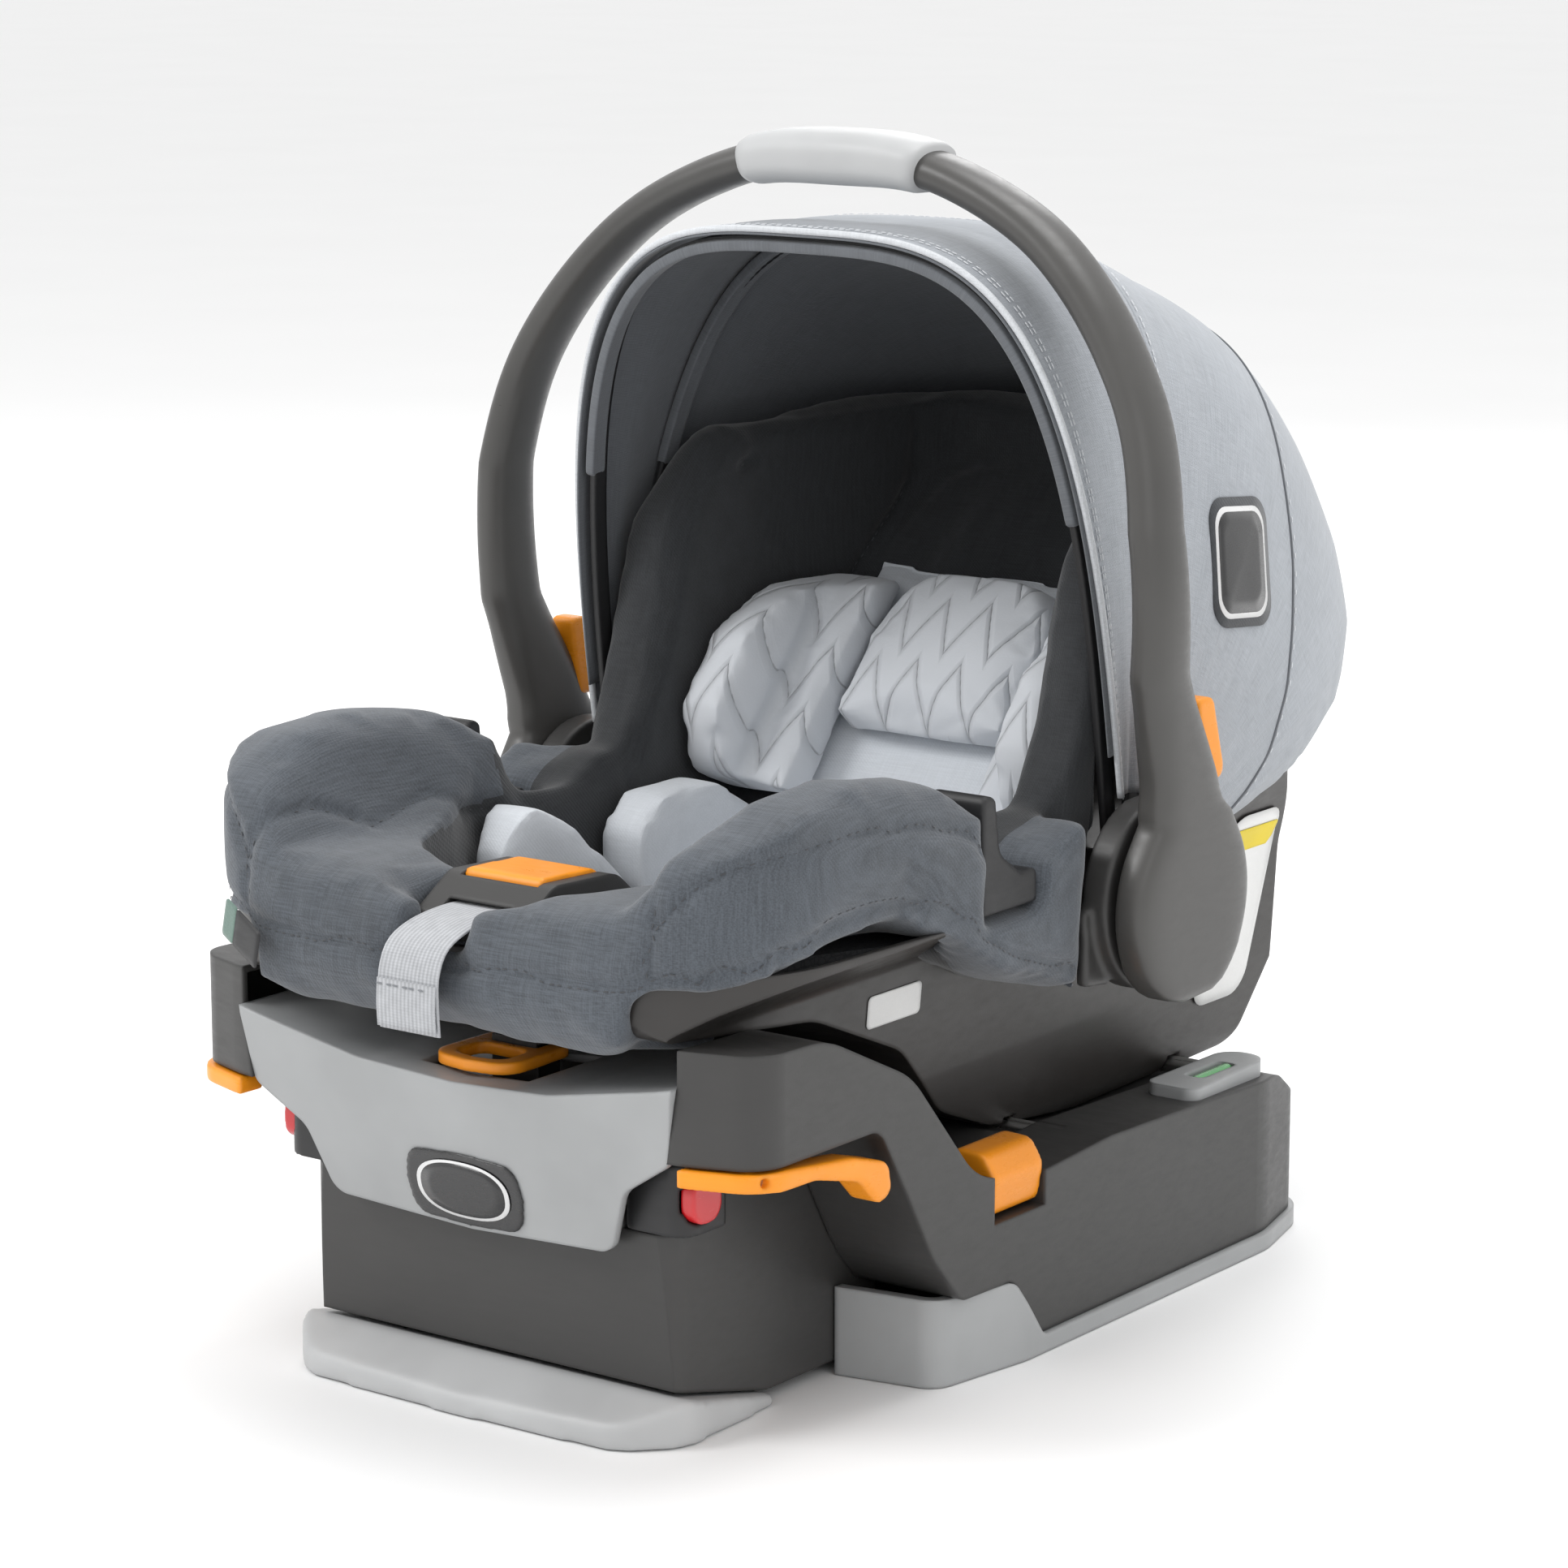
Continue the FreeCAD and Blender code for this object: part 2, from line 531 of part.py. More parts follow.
def build_carrier():
    room = canopy_room()
    filled = shell_body(0.0).common(under_rim()).cut(room)
    shell = filled.cut(shell_body(SHELL_WALL))
    for y, z in BARS:
        notch = box(-140, 140, y - BAR_R - 1, y + BAR_R + 1, 60, z + BAR_R + 1)
        shell = shell.cut(notch)
    slot = box(HOOK_X - 5, HOOK_X + 5, 236, 262, 60, 112)
    shell = shell.cut(slot).cut(flipped(slot))
    release_slot = box(-34, 34, SHELL_REAR - 10, SHELL_REAR + 5, RELEASE_Z - 3, RELEASE_Z + 62)
    pin = rod("x", PIN_R, BACK_HALF - 19, HUB_OUT - 9, PIVOT_Y, PIVOT_Z)
    boss = rod("x", 18.0, BACK_HALF - 22, BACK_HALF + 5.4, PIVOT_Y, PIVOT_Z)
    shell = shell.cut(release_slot)
    shell = largest(joined(shell, boss, flipped(boss)).cut(pin).cut(flipped(pin)))

    hook_room = box(HOOK_X - 8, HOOK_X + 8, 212, 290, 80, 150)
    foam = shell_body(SHELL_WALL).common(under_rim(8)).common(seat_hollow(LINING + FOAM))
    foam = foam.cut(room).cut(seat_hollow(LINING))
    foam = foam.cut(hook_room).cut(flipped(hook_room)).cut(pin).cut(flipped(pin)).cut(boss)
    foam = foam.cut(flipped(boss)).cut(box(-40, 40, 296, 330, RELEASE_Z - 30, RELEASE_Z + 80))
    for y, z in BARS:
        foam = foam.cut(box(-140, 140, y - BAR_R - 1, y + BAR_R + 1, 60, z + BAR_R + 1))
    guide_room = box(140, 230, *GUIDE_Y, 236, 400)
    adjuster_room = box(-34, 34, -246, -140, 225, 330)
    strap_half = WEBBING / 2 + 0.6
    strap_room = prism([(-243.1, 246.9), (PAD_FRONT - 9, 235.5), (PAD_FRONT - 9, 330), (-243.1, 330)],
                       "x", -strap_half, strap_half)
    lined = seat_hollow(LINING).common(shell_body(SHELL_WALL))
    padding = pad_form().cut(seat_hollow(0.0)).cut(shell_body(0.0).common(under_rim()).cut(lined))
    rooms = [room, guide_room, flipped(guide_room), adjuster_room.fuse(strap_room)]
    rooms += [pin, flipped(pin), boss, flipped(boss)]
    padding = largest(padding.cut(rooms))
    add("seat_shell", shell)
    add("foam_liner", foam.cut(guide_room).cut(flipped(guide_room)).cut(adjuster_room))
    add("seat_pad", padding)
    add_group("pivot_pins", pin)

    low, high = GUIDE_Y
    side = [(low + 2, 238), (low + 2, 300, 10), (low + 13, 297, 6), (low + 17, 268, 12),
            (high - 14, 254, 12), (high - 2, 257, 4), (high - 2, 238)]
    add_group("belt_guides", prism(side, "x", 148, 181).cut(shell).cut(foam))

    disc = rod("x", SOCKET_R, SOCKET_IN, HUB_IN - 1, PIVOT_Y, PIVOT_Z)
    bridge = prism([(16, 186), (50, 182), (60, 215), (44, 236), (16, 214)], "x", SOCKET_IN, SHELL_HALF)
    socket = joined(disc, bridge).cut(rod("x", PIN_R, 150, 230, PIVOT_Y, PIVOT_Z))
    add_group("hub_sockets", largest(largest(socket.cut(shell)).cut(padding)))

    build_adjuster()
    build_harness()
    build_insert()
    build_release()


def build_adjuster():
    side = [(-244, 226), (-240, 246, 10), (-214, 262, 12), (-166, 260, 16), (-142, 240, 6),
            (-142, 226)]
    house = prism(side, "x", -33, 33)
    well = box(-24.4, 24.4, -216, -164, 246, 280)
    house = house.cut(well).cut(box(-20, 20, -250, -214, 246, 252))
    add("adjuster_housing", house)
    cap = prism([(-215, 251, 2), (-213, 264, 4), (-170, 262, 6), (-165, 251, 2)], "x", -24, 24)
    add("adjuster_button", cap)
    half = WEBBING / 2
    edge = PAD_FRONT - 8
    upper = [(-216, 247.2), (-243, 247.2), (edge, 236), (edge, 200)]
    lower = [(edge - WEB_THICK, 200), (edge - WEB_THICK, 237.2), (-243.2, 247.2 + WEB_THICK),
             (-216, 247.2 + WEB_THICK)]
    strap = prism(upper + lower, "x", -half, half)
    add("adjuster_strap", strap)


def slab(y0, z0, y1, z1, thick, x0, x1, lift=0.0):
    """A flat strap between two points of the side view, with its lower face on that line."""
    (du, dv), _ = unit((y0, z0), (y1, z1))
    nu, nv = -dv, du
    a = (y0 + nu * lift, z0 + nv * lift)
    b = (y1 + nu * lift, z1 + nv * lift)
    corners = [a, b, (b[0] + nu * thick, b[1] + nv * thick), (a[0] + nu * thick, a[1] + nv * thick)]
    return prism(corners, "x", x0, x1)


BACK_LINE = ((122.0, 217.5), (262.0, 377.5))   # lower and upper end of the lined seat back
STRAP_TOP = (227.0, 337.5)                      # where a shoulder strap goes into the seat back
STRAP_IN = 24.0                                 # inner edge of a shoulder strap


def build_harness():
    low, high = BACK_LINE
    strap = slab(*low, *STRAP_TOP, WEB_THICK, STRAP_IN, STRAP_IN + WEBBING, 0.4)
    add_group("shoulder_straps", strap)
    plate = slab(*low, *high, 2.5, -70, 70, -44)
    plate = plate.common(box(-70, 70, 180, 330, 180, 262))
    NODES["foam_liner"] = NODES["foam_liner"].cut(plate)
    add("splitter_plate", plate)
    buckle = prism([(-104, 219.5, 4), (-50, 202.5, 4), (-46, 214.5, 4), (-100, 231.5, 4)],
                   "x", -27, 27)
    well = slab(-92, 215.7, -72, 209.4, 14, -15, 15, 2.5)
    button = slab(-91.4, 215.5, -72.6, 209.6, 7.5, -14.3, 14.3, 6.0)
    crotch = slab(-46, 203, -22, 198, WEB_THICK, -19, 19, 2.0)
    add("crotch_buckle", buckle.cut(well))
    add("buckle_button", button)
    add("crotch_strap", crotch.cut(buckle))


def build_insert():
    """The removable newborn insert: a sheet, four bolsters and a three-lobed head pillow."""
    room = seat_hollow(-0.4)
    sheet = room.cut(seat_hollow(-7.0)).common(box(-92, 92, 0, 262, 150, 352))
    cover = slab(*BACK_LINE[0], *BACK_LINE[1], 3.0, 20, 66, 0.0)
    sheet = sheet.cut(cover).cut(flipped(cover))
    add("body_insert", sheet)
    inner = seat_hollow(-7.3)
    thigh = prism([(-112, 190), (-116, 244, 20), (-88, 268, 20), (-52, 252, 30), (-4, 212, 6),
                   (-6, 190)], "x", 84, 116)
    hip = prism([(2, 190), (2, 236, 16), (26, 254, 20), (74, 254, 30), (122, 226, 20), (142, 190)],
                "x", 84, 116)
    add_group("thigh_bolsters", thigh.common(inner))
    hip = hip.common(inner)
    add_group("hip_bolsters", hip)
    low, high = BACK_LINE
    front_view = prism(mirrored_outline([(0, 200), (57, 200), (58, 320, 40), (46, 352, 30), (0, 364, 60)]),
                       "y", 100, 300)
    centre = slab(160, 261, 226, 336.5, 26, -57, 57, 9.5).common(inner).common(front_view)
    side = [(80, 250, 24), (74, 292, 20), (104, 330, 24), (150, 348, 24), (212, 350, 16),
            (222, 330, 10), (128, 232, 12)]
    lobe = prism(side, "x", 88, 117).common(inner)
    wing = prism(side, "x", 58, 117).common(inner)
    wing = wing.common(slab(120, 217.5, 240, 354.6, 30, 57, 117, 9.5))
    lobe = joined(lobe, wing)
    add("head_pillow_centre", centre)
    add_pair("head_pillow_lobe", lobe.cut(hip))


def build_release():
    """The handle on the shell's back, its link and the two hooks that it turns."""
    low = RELEASE_Z
    handle = prism([(-31, low, 8), (31, low, 8), (31, low + 44, 12), (-31, low + 44, 12)],
                   "y", SHELL_REAR - 8, SHELL_REAR + 2)
    grip = prism([(-25, low + 12, 6), (25, low + 12, 6), (25, low + 28, 6), (-25, low + 28, 6)],
                 "y", SHELL_REAR - 4, SHELL_REAR + 10)
    link = box(-9, 9, 304, 306, low - 24, low + 20)
    neck = box(-6, 6, 305.9, SHELL_REAR - 8.0, low + 6, low + 14)
    add("release_handle", handle.cut(grip))
    add("release_link", link.fuse(neck))
    y, z = HOOK_PIN
    hook = prism([(y - 8, z + 8, 7), (y + 8, z + 8, 7), (y + 8, z - 8, 7), (y - 4, 93, 4),
                  (y - 14, 90, 3), (y - 15, 95, 2), (y - 8, 102, 6)], "x", HOOK_X - 3, HOOK_X + 3)
    add_pair("latch_hook", hook.cut(rod("x", 3.0 + RUN, 40, 80, y, z)))
    pin = rod("x", 3.0, HOOK_X - 9, HOOK_X + 9, y, z)
    NODES["foam_liner"] = NODES["foam_liner"].cut(pin).cut(flipped(pin))
    add_group("latch_hook_pins", pin)


# ---- canopy ----------------------------------------------------------------------------------
def bow(half, radius, angle, eye_in):
    """A sprung arch with an eye at each end that turns on the pivot pin."""
    strip = arch(half, radius, 0.0, BOW)
    solid = strip.extrude(V(0, BOW_WIDE, 0))
    solid.translate(V(0, -BOW_WIDE / 2, 0))
    eye = rod("x", 15.0, eye_in, eye_in + BOW, PIVOT_Y, PIVOT_Z)
    solid = joined(swung(solid, angle), eye, flipped(eye))
    bore = rod("x", PIN_R + RUN, 100, 230, PIVOT_Y, PIVOT_Z)
    return solid.cut(bore).cut(flipped(bore))


def build_canopy():
    step = CLOTH + LAYER
    low = SOCKET_R + 4
    mid_half = BOW_HALF + BOW + LAYER
    rear = sector(CANOPY_HALF, CANOPY_R, low, SEAM_ANGLE, REAR_ANGLE)
    end = arch(CANOPY_HALF, CANOPY_R, low, None).extrude(V(0, CLOTH, 0))
    hole = box(-BACK_HALF - 9, BACK_HALF + 9, PIVOT_Y - 5, PIVOT_Y + 10, 0, PIVOT_Z + 252)
    end = swung(end.cut(hole), REAR_ANGLE)
    add("canopy_rear_panel", joined(rear, end))
    add("canopy_middle_panel", sector(CANOPY_HALF - step, CANOPY_R - step, low, MID_ANGLE, SEAM_ANGLE))
    add("canopy_front_panel", sector(FRONT_HALF, FRONT_R, low, HEM_ANGLE, MID_ANGLE))
    add("canopy_middle_bow", bow(mid_half, BOW_RADIUS + LAYER, MID_ANGLE, mid_half - BOW))
    add("canopy_front_bow", bow(BOW_HALF, BOW_RADIUS, HEM_ANGLE + 1.5, BOW_HALF - BOW))


# ---- carry handle ----------------------------------------------------------------------------
def handle_side(grow=0.0):
    """Side view of the arms, rising from the hub and leaning towards the foot end."""
    arm = prism([(58, 180, 0), (46, 290, 80), (24, 345, 120), (24, 420, 160), (58, 612, 0),
                 (88, 612, 0), (63, 420, 160), (65, 345, 120), (102, 290, 80), (118, 230, 0)],
                "x", -260, 260)
    hub = rod("x", HUB_R, -260, 260, PIVOT_Y, PIVOT_Z)
    return arm.fuse(hub)


def build_handle():
    outer = mirrored_outline([(0, 100), (HUB_OUT, 100), (HUB_OUT + 1, 260, 300), (224, 380, 260),
                              (210, 462, 160), (170, 532, 150), (108, 586, 160), (48, 602, 160),
                              (0, 603)])
    inner = mirrored_outline([(0, 90), (HUB_IN, 90), (HUB_IN + 1, 260, 200), (202, 376, 200),
                              (189, 450, 140), (152, 515, 130), (98, 565, 140), (44, 581, 140),
                              (0, 582)])
    form = prism(outer, "y", -40, 180).cut(prism(inner, "y", -50, 190))
    handle = form.common(handle_side())
    bore = rod("x", PIN_R + RUN, 150, HUB_OUT - 8.8, PIVOT_Y, PIVOT_Z)
    gear_room = rod("x", 30.0, HUB_IN - 1, HUB_IN + 9, PIVOT_Y, PIVOT_Z)
    slot = box(HUB_IN - 2, HUB_OUT + 4, 80, 130, 283, 330)
    well = slot.common(prism([(84, 282), (108, 282), (92, 331), (78, 331)], "x", 196, 212))
    handle = handle.cut(bore).cut(flipped(bore)).cut(gear_room).cut(flipped(gear_room))
    handle = handle.cut(well).cut(flipped(well))
    sleeve = prism(mirrored_outline([(0, 577), (52, 574, 60), (61, 570, 6), (65, 601, 8),
                                     (52, 606, 60), (0, 608)]), "y", 40, 110)
    sleeve = sleeve.common(prism([(51, 566, 12), (53, 612, 12), (96, 612, 12), (93, 566, 12)],
                                 "x", -80, 80))
    add("handle_grip", sleeve.cut(handle))
    add("handle_bow", handle)
    ring = rod("x", 29.6, HUB_IN - 0.2, HUB_IN + 8.6, PIVOT_Y, PIVOT_Z)
    ring = ring.cut(bore)
    for i in range(12):
        angle = 2 * math.pi * i / 12
        notch = rod("x", 3.0, HUB_IN - 1, HUB_IN + 3, PIVOT_Y + 24 * math.cos(angle),
                    PIVOT_Z + 24 * math.sin(angle))
        ring = ring.cut(notch)
    add_group("handle_lock_rings", ring)
    button = prism([(91, 284, 3), (112, 284, 6), (99, 328, 6), (84, 328, 3)], "x", 196.5, 211.5)
    add_pair("handle_button", button)


def main():
    build_base()
    build_carrier()
    build_canopy()
    build_handle()
    os.makedirs("parts", exist_ok=True)
    for name, shape in NODES.items():
        solids = shape.Solids
        if not isinstance(shape, Part.Compound) and len(solids) != 1:
            print("note:", name, "has", len(solids), "solids",
                  [round(s.Volume) for s in solids])
        if not shape.isValid():
            print("note:", name, "is not valid")
        shape.exportStep("parts/" + name + ".step")
    print(len(NODES), "nodes")


main()
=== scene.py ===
# %% [markdown]
# # Infant car seat: the looks
# A rear-facing infant carrier stands in its base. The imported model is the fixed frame. Hard parts
# keep their shape and get procedural materials. Soft parts are built here, and stand for their solids.

# %% Load the frame
import bpy
import math
import numpy as np
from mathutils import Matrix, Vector, noise
from mathutils.bvhtree import BVHTree


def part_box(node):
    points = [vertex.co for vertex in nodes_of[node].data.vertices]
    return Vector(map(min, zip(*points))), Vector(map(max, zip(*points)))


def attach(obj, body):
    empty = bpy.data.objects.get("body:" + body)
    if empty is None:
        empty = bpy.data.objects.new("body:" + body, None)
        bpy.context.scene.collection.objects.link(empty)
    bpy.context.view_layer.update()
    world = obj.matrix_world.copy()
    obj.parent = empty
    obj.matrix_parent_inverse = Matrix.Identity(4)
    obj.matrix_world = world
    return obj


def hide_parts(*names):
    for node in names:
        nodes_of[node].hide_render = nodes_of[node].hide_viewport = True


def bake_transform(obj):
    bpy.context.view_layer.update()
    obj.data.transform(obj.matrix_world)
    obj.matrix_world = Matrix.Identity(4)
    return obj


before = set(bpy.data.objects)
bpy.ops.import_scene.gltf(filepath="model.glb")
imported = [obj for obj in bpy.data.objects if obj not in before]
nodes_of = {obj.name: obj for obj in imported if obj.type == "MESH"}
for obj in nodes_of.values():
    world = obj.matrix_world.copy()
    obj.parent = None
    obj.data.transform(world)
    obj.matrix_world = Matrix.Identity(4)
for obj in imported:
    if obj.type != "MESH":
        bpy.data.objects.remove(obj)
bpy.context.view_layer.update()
scene = bpy.context.scene

# %% [markdown]
# ## Camera, floor and light
# A long lens looks down a little at the foot end. Big soft lamps and a pale floor stand for a studio.

# %% Camera
camera = bpy.data.objects.new("camera", bpy.data.cameras.new("camera"))
scene.collection.objects.link(camera)
camera.data.sensor_width = 36.0
camera.data.lens = 110.69
camera.data.clip_start = 0.1
camera.data.clip_end = 100.0
camera.location = (1.4692, -1.9688, 0.7832)
aim = Vector((0.0, 0.01675, 0.26976))
camera.rotation_mode = "QUATERNION"
camera.rotation_quaternion = (aim - camera.location).to_track_quat("-Z", "Y")
scene.camera = camera
scene.view_settings.view_transform = "Standard"


# %% Floor, lamps and world
def lamp(name, at, size, power, target=(0, 0, 0.25), shade=(1, 1, 1)):
    data = bpy.data.lights.new(name, "AREA")
    data.shape = "DISK"
    data.size = size
    data.energy = power
    data.color = shade
    o = bpy.data.objects.new(name, data)
    o.location = at
    o.rotation_mode = "QUATERNION"
    o.rotation_quaternion = (Vector(target) - Vector(at)).to_track_quat("-Z", "Y")
    scene.collection.objects.link(o)
    return o


lamp("key", (-1.7, -2.0, 2.6), 1.4, 42)
lamp("fill", (2.6, -1.2, 1.5), 2.2, 8)
lamp("top", (0.3, 0.9, 3.0), 1.8, 34)
lamp("back", (-1.2, 2.4, 1.8), 1.4, 14)
world = bpy.data.worlds.new("studio")
scene.world = world
world.use_nodes = True
world.node_tree.nodes["Background"].inputs["Color"].default_value = (1.0, 1.0, 1.0, 1.0)
world.node_tree.nodes["Background"].inputs["Strength"].default_value = 0.95
print("4 lamps")

# %% [markdown]
# ## Materials
# Each one is made of nodes. Plastics have a fine moulded grain and rounded edges with a painted highlight
# along them. Fabrics have a weave, flecks of lighter and darker yarn, and a soft sheen.


# %% Node helpers
class Nodes:
    """A material and short calls that add nodes to it."""

    def __init__(self, name):
        self.material = bpy.data.materials.new(name)
        self.material.use_nodes = True
        self.tree = self.material.node_tree
        self.bsdf = self.tree.nodes["Principled BSDF"]

    def add(self, kind, settings=None, **inputs):
        n = self.tree.nodes.new("ShaderNode" + kind)
        for key, value in (settings or {}).items():
            setattr(n, key, value)
        for key, value in inputs.items():
            self.link(value, n.inputs[key.replace("_", " ")])
        return n

    def link(self, value, socket):
        if isinstance(value, bpy.types.NodeSocket):
            self.tree.links.new(value, socket)
        else:
            socket.default_value = value

    def maths(self, operation, a, b=0.0, c=0.0):
        n = self.tree.nodes.new("ShaderNodeMath")
        n.operation = operation
        for socket, value in zip(n.inputs, (a, b, c)):
            self.link(value, socket)
        return n.outputs[0]

    def mix(self, factor, a, b):
        n = self.tree.nodes.new("ShaderNodeMix")
        n.data_type = "RGBA"
        self.link(factor, n.inputs[0])
        self.link(a, n.inputs[6])
        self.link(b, n.inputs[7])
        return n.outputs[2]

    def ramp(self, value, low, high, to_low=0.0, to_high=1.0):
        n = self.add("MapRange", Value=value)
        for key, v in zip(("From Min", "From Max", "To Min", "To Max"), (low, high, to_low, to_high)):
            n.inputs[key].default_value = v
        return n.outputs[0]

    def coords(self, scale=(1, 1, 1), turn=(0, 0, 0), kind="Object"):
        where = self.add("TexCoord").outputs[kind]
        n = self.add("Mapping", Vector=where)
        n.inputs["Scale"].default_value = scale
        n.inputs["Rotation"].default_value = turn
        return n.outputs[0]

    def noise(self, where, scale, detail=2.0, rough=0.5):
        n = self.add("TexNoise", Vector=where, Scale=scale, Detail=detail, Roughness=rough)
        return n.outputs["Fac"]

    def bump(self, height, distance, strength=1.0, under=None):
        n = self.add("Bump", Height=height, Distance=distance, Strength=strength)
        if under is not None:
            self.link(under, n.inputs["Normal"])
        return n.outputs[0]

    def finish(self, **inputs):
        for key, value in inputs.items():
            self.link(value, self.bsdf.inputs[key.replace("_", " ")])
        return self.material


def shade(c, k):
    return tuple(min(1.0, v * k) for v in c[:3]) + (1.0,)


# %% Plastic, metal and foam
def plastic(name, colour, rough=0.42, grain=1.0, edge_highlight=0.35, coat=0.0, edge_radius=0.003):
    n = Nodes(name)
    where = n.coords()
    cloudy = n.noise(where, 14.0, 3.0)
    colour_now = n.mix(n.ramp(cloudy, 0.35, 0.65), shade(colour, 0.94), shade(colour, 1.06))
    soft = n.add("Bevel", {"samples": 4}, Radius=edge_radius).outputs[0]
    flat = n.add("NewGeometry").outputs["Normal"]
    facing = n.tree.nodes.new("ShaderNodeVectorMath")
    facing.operation = "DOT_PRODUCT"
    n.link(soft, facing.inputs[0])
    n.link(flat, facing.inputs[1])
    edge = n.ramp(facing.outputs["Value"], 0.995, 0.80)
    # Painted highlight: the edges are mixed towards a paler colour, broken up by noise.
    edge_highlight_mask = n.maths("MULTIPLY", edge, n.ramp(n.noise(where, 60.0, 4.0), 0.35, 0.6, 0.2, edge_highlight))
    colour_now = n.mix(edge_highlight_mask, colour_now, shade(colour, 1.6))
    scuff = n.noise(n.coords((40, 90, 260), (0.3, 0.2, 0.5)), 1.0, 5.0, 0.7)
    grainy = n.noise(where, 1500.0, 2.0)
    spread = n.maths("ADD", n.ramp(scuff, 0.3, 0.75, rough - 0.05, rough + 0.09),
                     n.ramp(cloudy, 0.3, 0.7, -0.03, 0.03))
    normal = n.bump(grainy, 0.00012, 0.35 * grain, n.bump(cloudy, 0.0004, 0.12, soft))
    return n.finish(Base_Color=colour_now, Roughness=spread, Normal=normal, Coat_Weight=coat)


def metal(name, colour, rough=0.32):
    n = Nodes(name)
    brushed = n.noise(n.coords((30, 900, 900)), 1.0, 3.0)
    colour_now = n.mix(n.ramp(brushed, 0.3, 0.7), shade(colour, 0.85), shade(colour, 1.1))
    return n.finish(Base_Color=colour_now, Metallic=1.0,
                    Roughness=n.ramp(brushed, 0.3, 0.7, rough - 0.08, rough + 0.12),
                    Normal=n.bump(brushed, 0.0001, 0.3))


def bead_foam(name, colour):
    n = Nodes(name)
    cells = n.add("TexVoronoi", {"feature": "DISTANCE_TO_EDGE"}, Vector=n.coords(), Scale=320.0)
    height = n.ramp(cells.outputs["Distance"], 0.0, 0.12)
    colour_now = n.mix(height, shade(colour, 0.7), shade(colour, 1.0))
    return n.finish(Base_Color=colour_now, Roughness=0.8, Normal=n.bump(height, 0.0005, 0.5))


# %% Fabric and webbing
def fabric(name, colour, fleck=0.25, weave=0.6, along=(1, 1, 1), kind="Object", sheen=0.25, rough=0.85):
    """Two sets of yarns with uneven dye, their weave as bump, and slow stains of shade."""
    n = Nodes(name)
    where = n.coords(kind=kind)
    sx, sy, sz = along
    weft = n.noise(n.coords((45 * sx, 1300 * sy, 1300 * sz), kind=kind), 1.0, 3.0, 0.6)
    warp = n.noise(n.coords((1300 * sx, 60 * sy, 60 * sz), kind=kind), 1.0, 3.0, 0.6)
    yarn = n.maths("ADD", n.maths("MULTIPLY", weft, 0.6), n.maths("MULTIPLY", warp, 0.4))
    slow = n.noise(where, 9.0, 3.0)
    tone = n.maths("ADD", n.maths("MULTIPLY", yarn, 0.8), n.maths("MULTIPLY", slow, 0.2))
    colour_now = n.mix(n.ramp(tone, 0.40, 0.60), shade(colour, 1 - fleck), shade(colour, 1 + fleck))
    across = n.add("TexWave", {"bands_direction": "X"}, Vector=where, Scale=320.0).outputs["Fac"]
    down = n.add("TexWave", {"bands_direction": "DIAGONAL"}, Vector=where, Scale=260.0).outputs["Fac"]
    cloth = n.maths("ADD", n.maths("MULTIPLY", across, 0.5), n.maths("MULTIPLY", down, 0.5))
    height = n.maths("ADD", n.maths("MULTIPLY", cloth, 0.5), n.maths("MULTIPLY", yarn, 0.8))
    creased = n.bump(n.noise(where, 26.0, 4.0, 0.55), 0.0022, 0.35)
    normal = n.bump(height, 0.0004, weave, creased)
    n.bsdf.inputs["Sheen Roughness"].default_value = 0.5
    return n.finish(Base_Color=colour_now, Roughness=rough, Normal=normal, Sheen_Weight=sheen)


def quilted(name, colour):
    """Brushed knit with long zigzag rows of quilting stitches, pulled in along each row, and painted shade in
    the groove along each row.
    """
    n = Nodes(name)
    where = n.add("TexCoord").outputs["Object"]
    apart = n.add("SeparateXYZ", Vector=where)
    run = n.maths("ADD", n.maths("MULTIPLY", apart.outputs[1], 0.6585),
                  n.maths("MULTIPLY", apart.outputs[2], 0.7526))
    column = n.maths("PINGPONG", n.maths("ADD", apart.outputs[0], 0.5), 0.014)
    slant = n.maths("SUBTRACT", run, n.maths("MULTIPLY", column, 2.6))
    row = n.maths("PINGPONG", n.maths("ADD", slant, 1.0), 0.021)
    seam = n.ramp(row, 0.0, 0.0075)
    dash = n.ramp(n.maths("PINGPONG", n.maths("MULTIPLY", column, 1.0), 0.0011), 0.0004, 0.0007)
    thread = n.maths("MULTIPLY", n.ramp(row, 0.0009, 0.0004), dash)
    knit = n.noise(n.coords((700, 700, 700)), 1.0, 2.0)
    slow = n.noise(n.coords(), 12.0, 3.0)
    plain = n.mix(n.ramp(slow, 0.3, 0.7), shade(colour, 0.96), shade(colour, 1.03))
    # Painted shade: the knit is darker along each quilted row, where the groove would be in shade.
    groove_shade = n.mix(seam, shade(colour, 0.90), plain)
    colour_now = n.mix(thread, groove_shade, shade(colour, 0.66))
    puffed_up = n.maths("POWER", seam, 0.5)
    creased = n.bump(slow, 0.004, 0.4)
    normal = n.bump(knit, 0.0003, 0.3, n.bump(puffed_up, 0.0022, 0.75, creased))
    return n.finish(Base_Color=colour_now, Roughness=0.85, Normal=normal, Sheen_Weight=0.3)


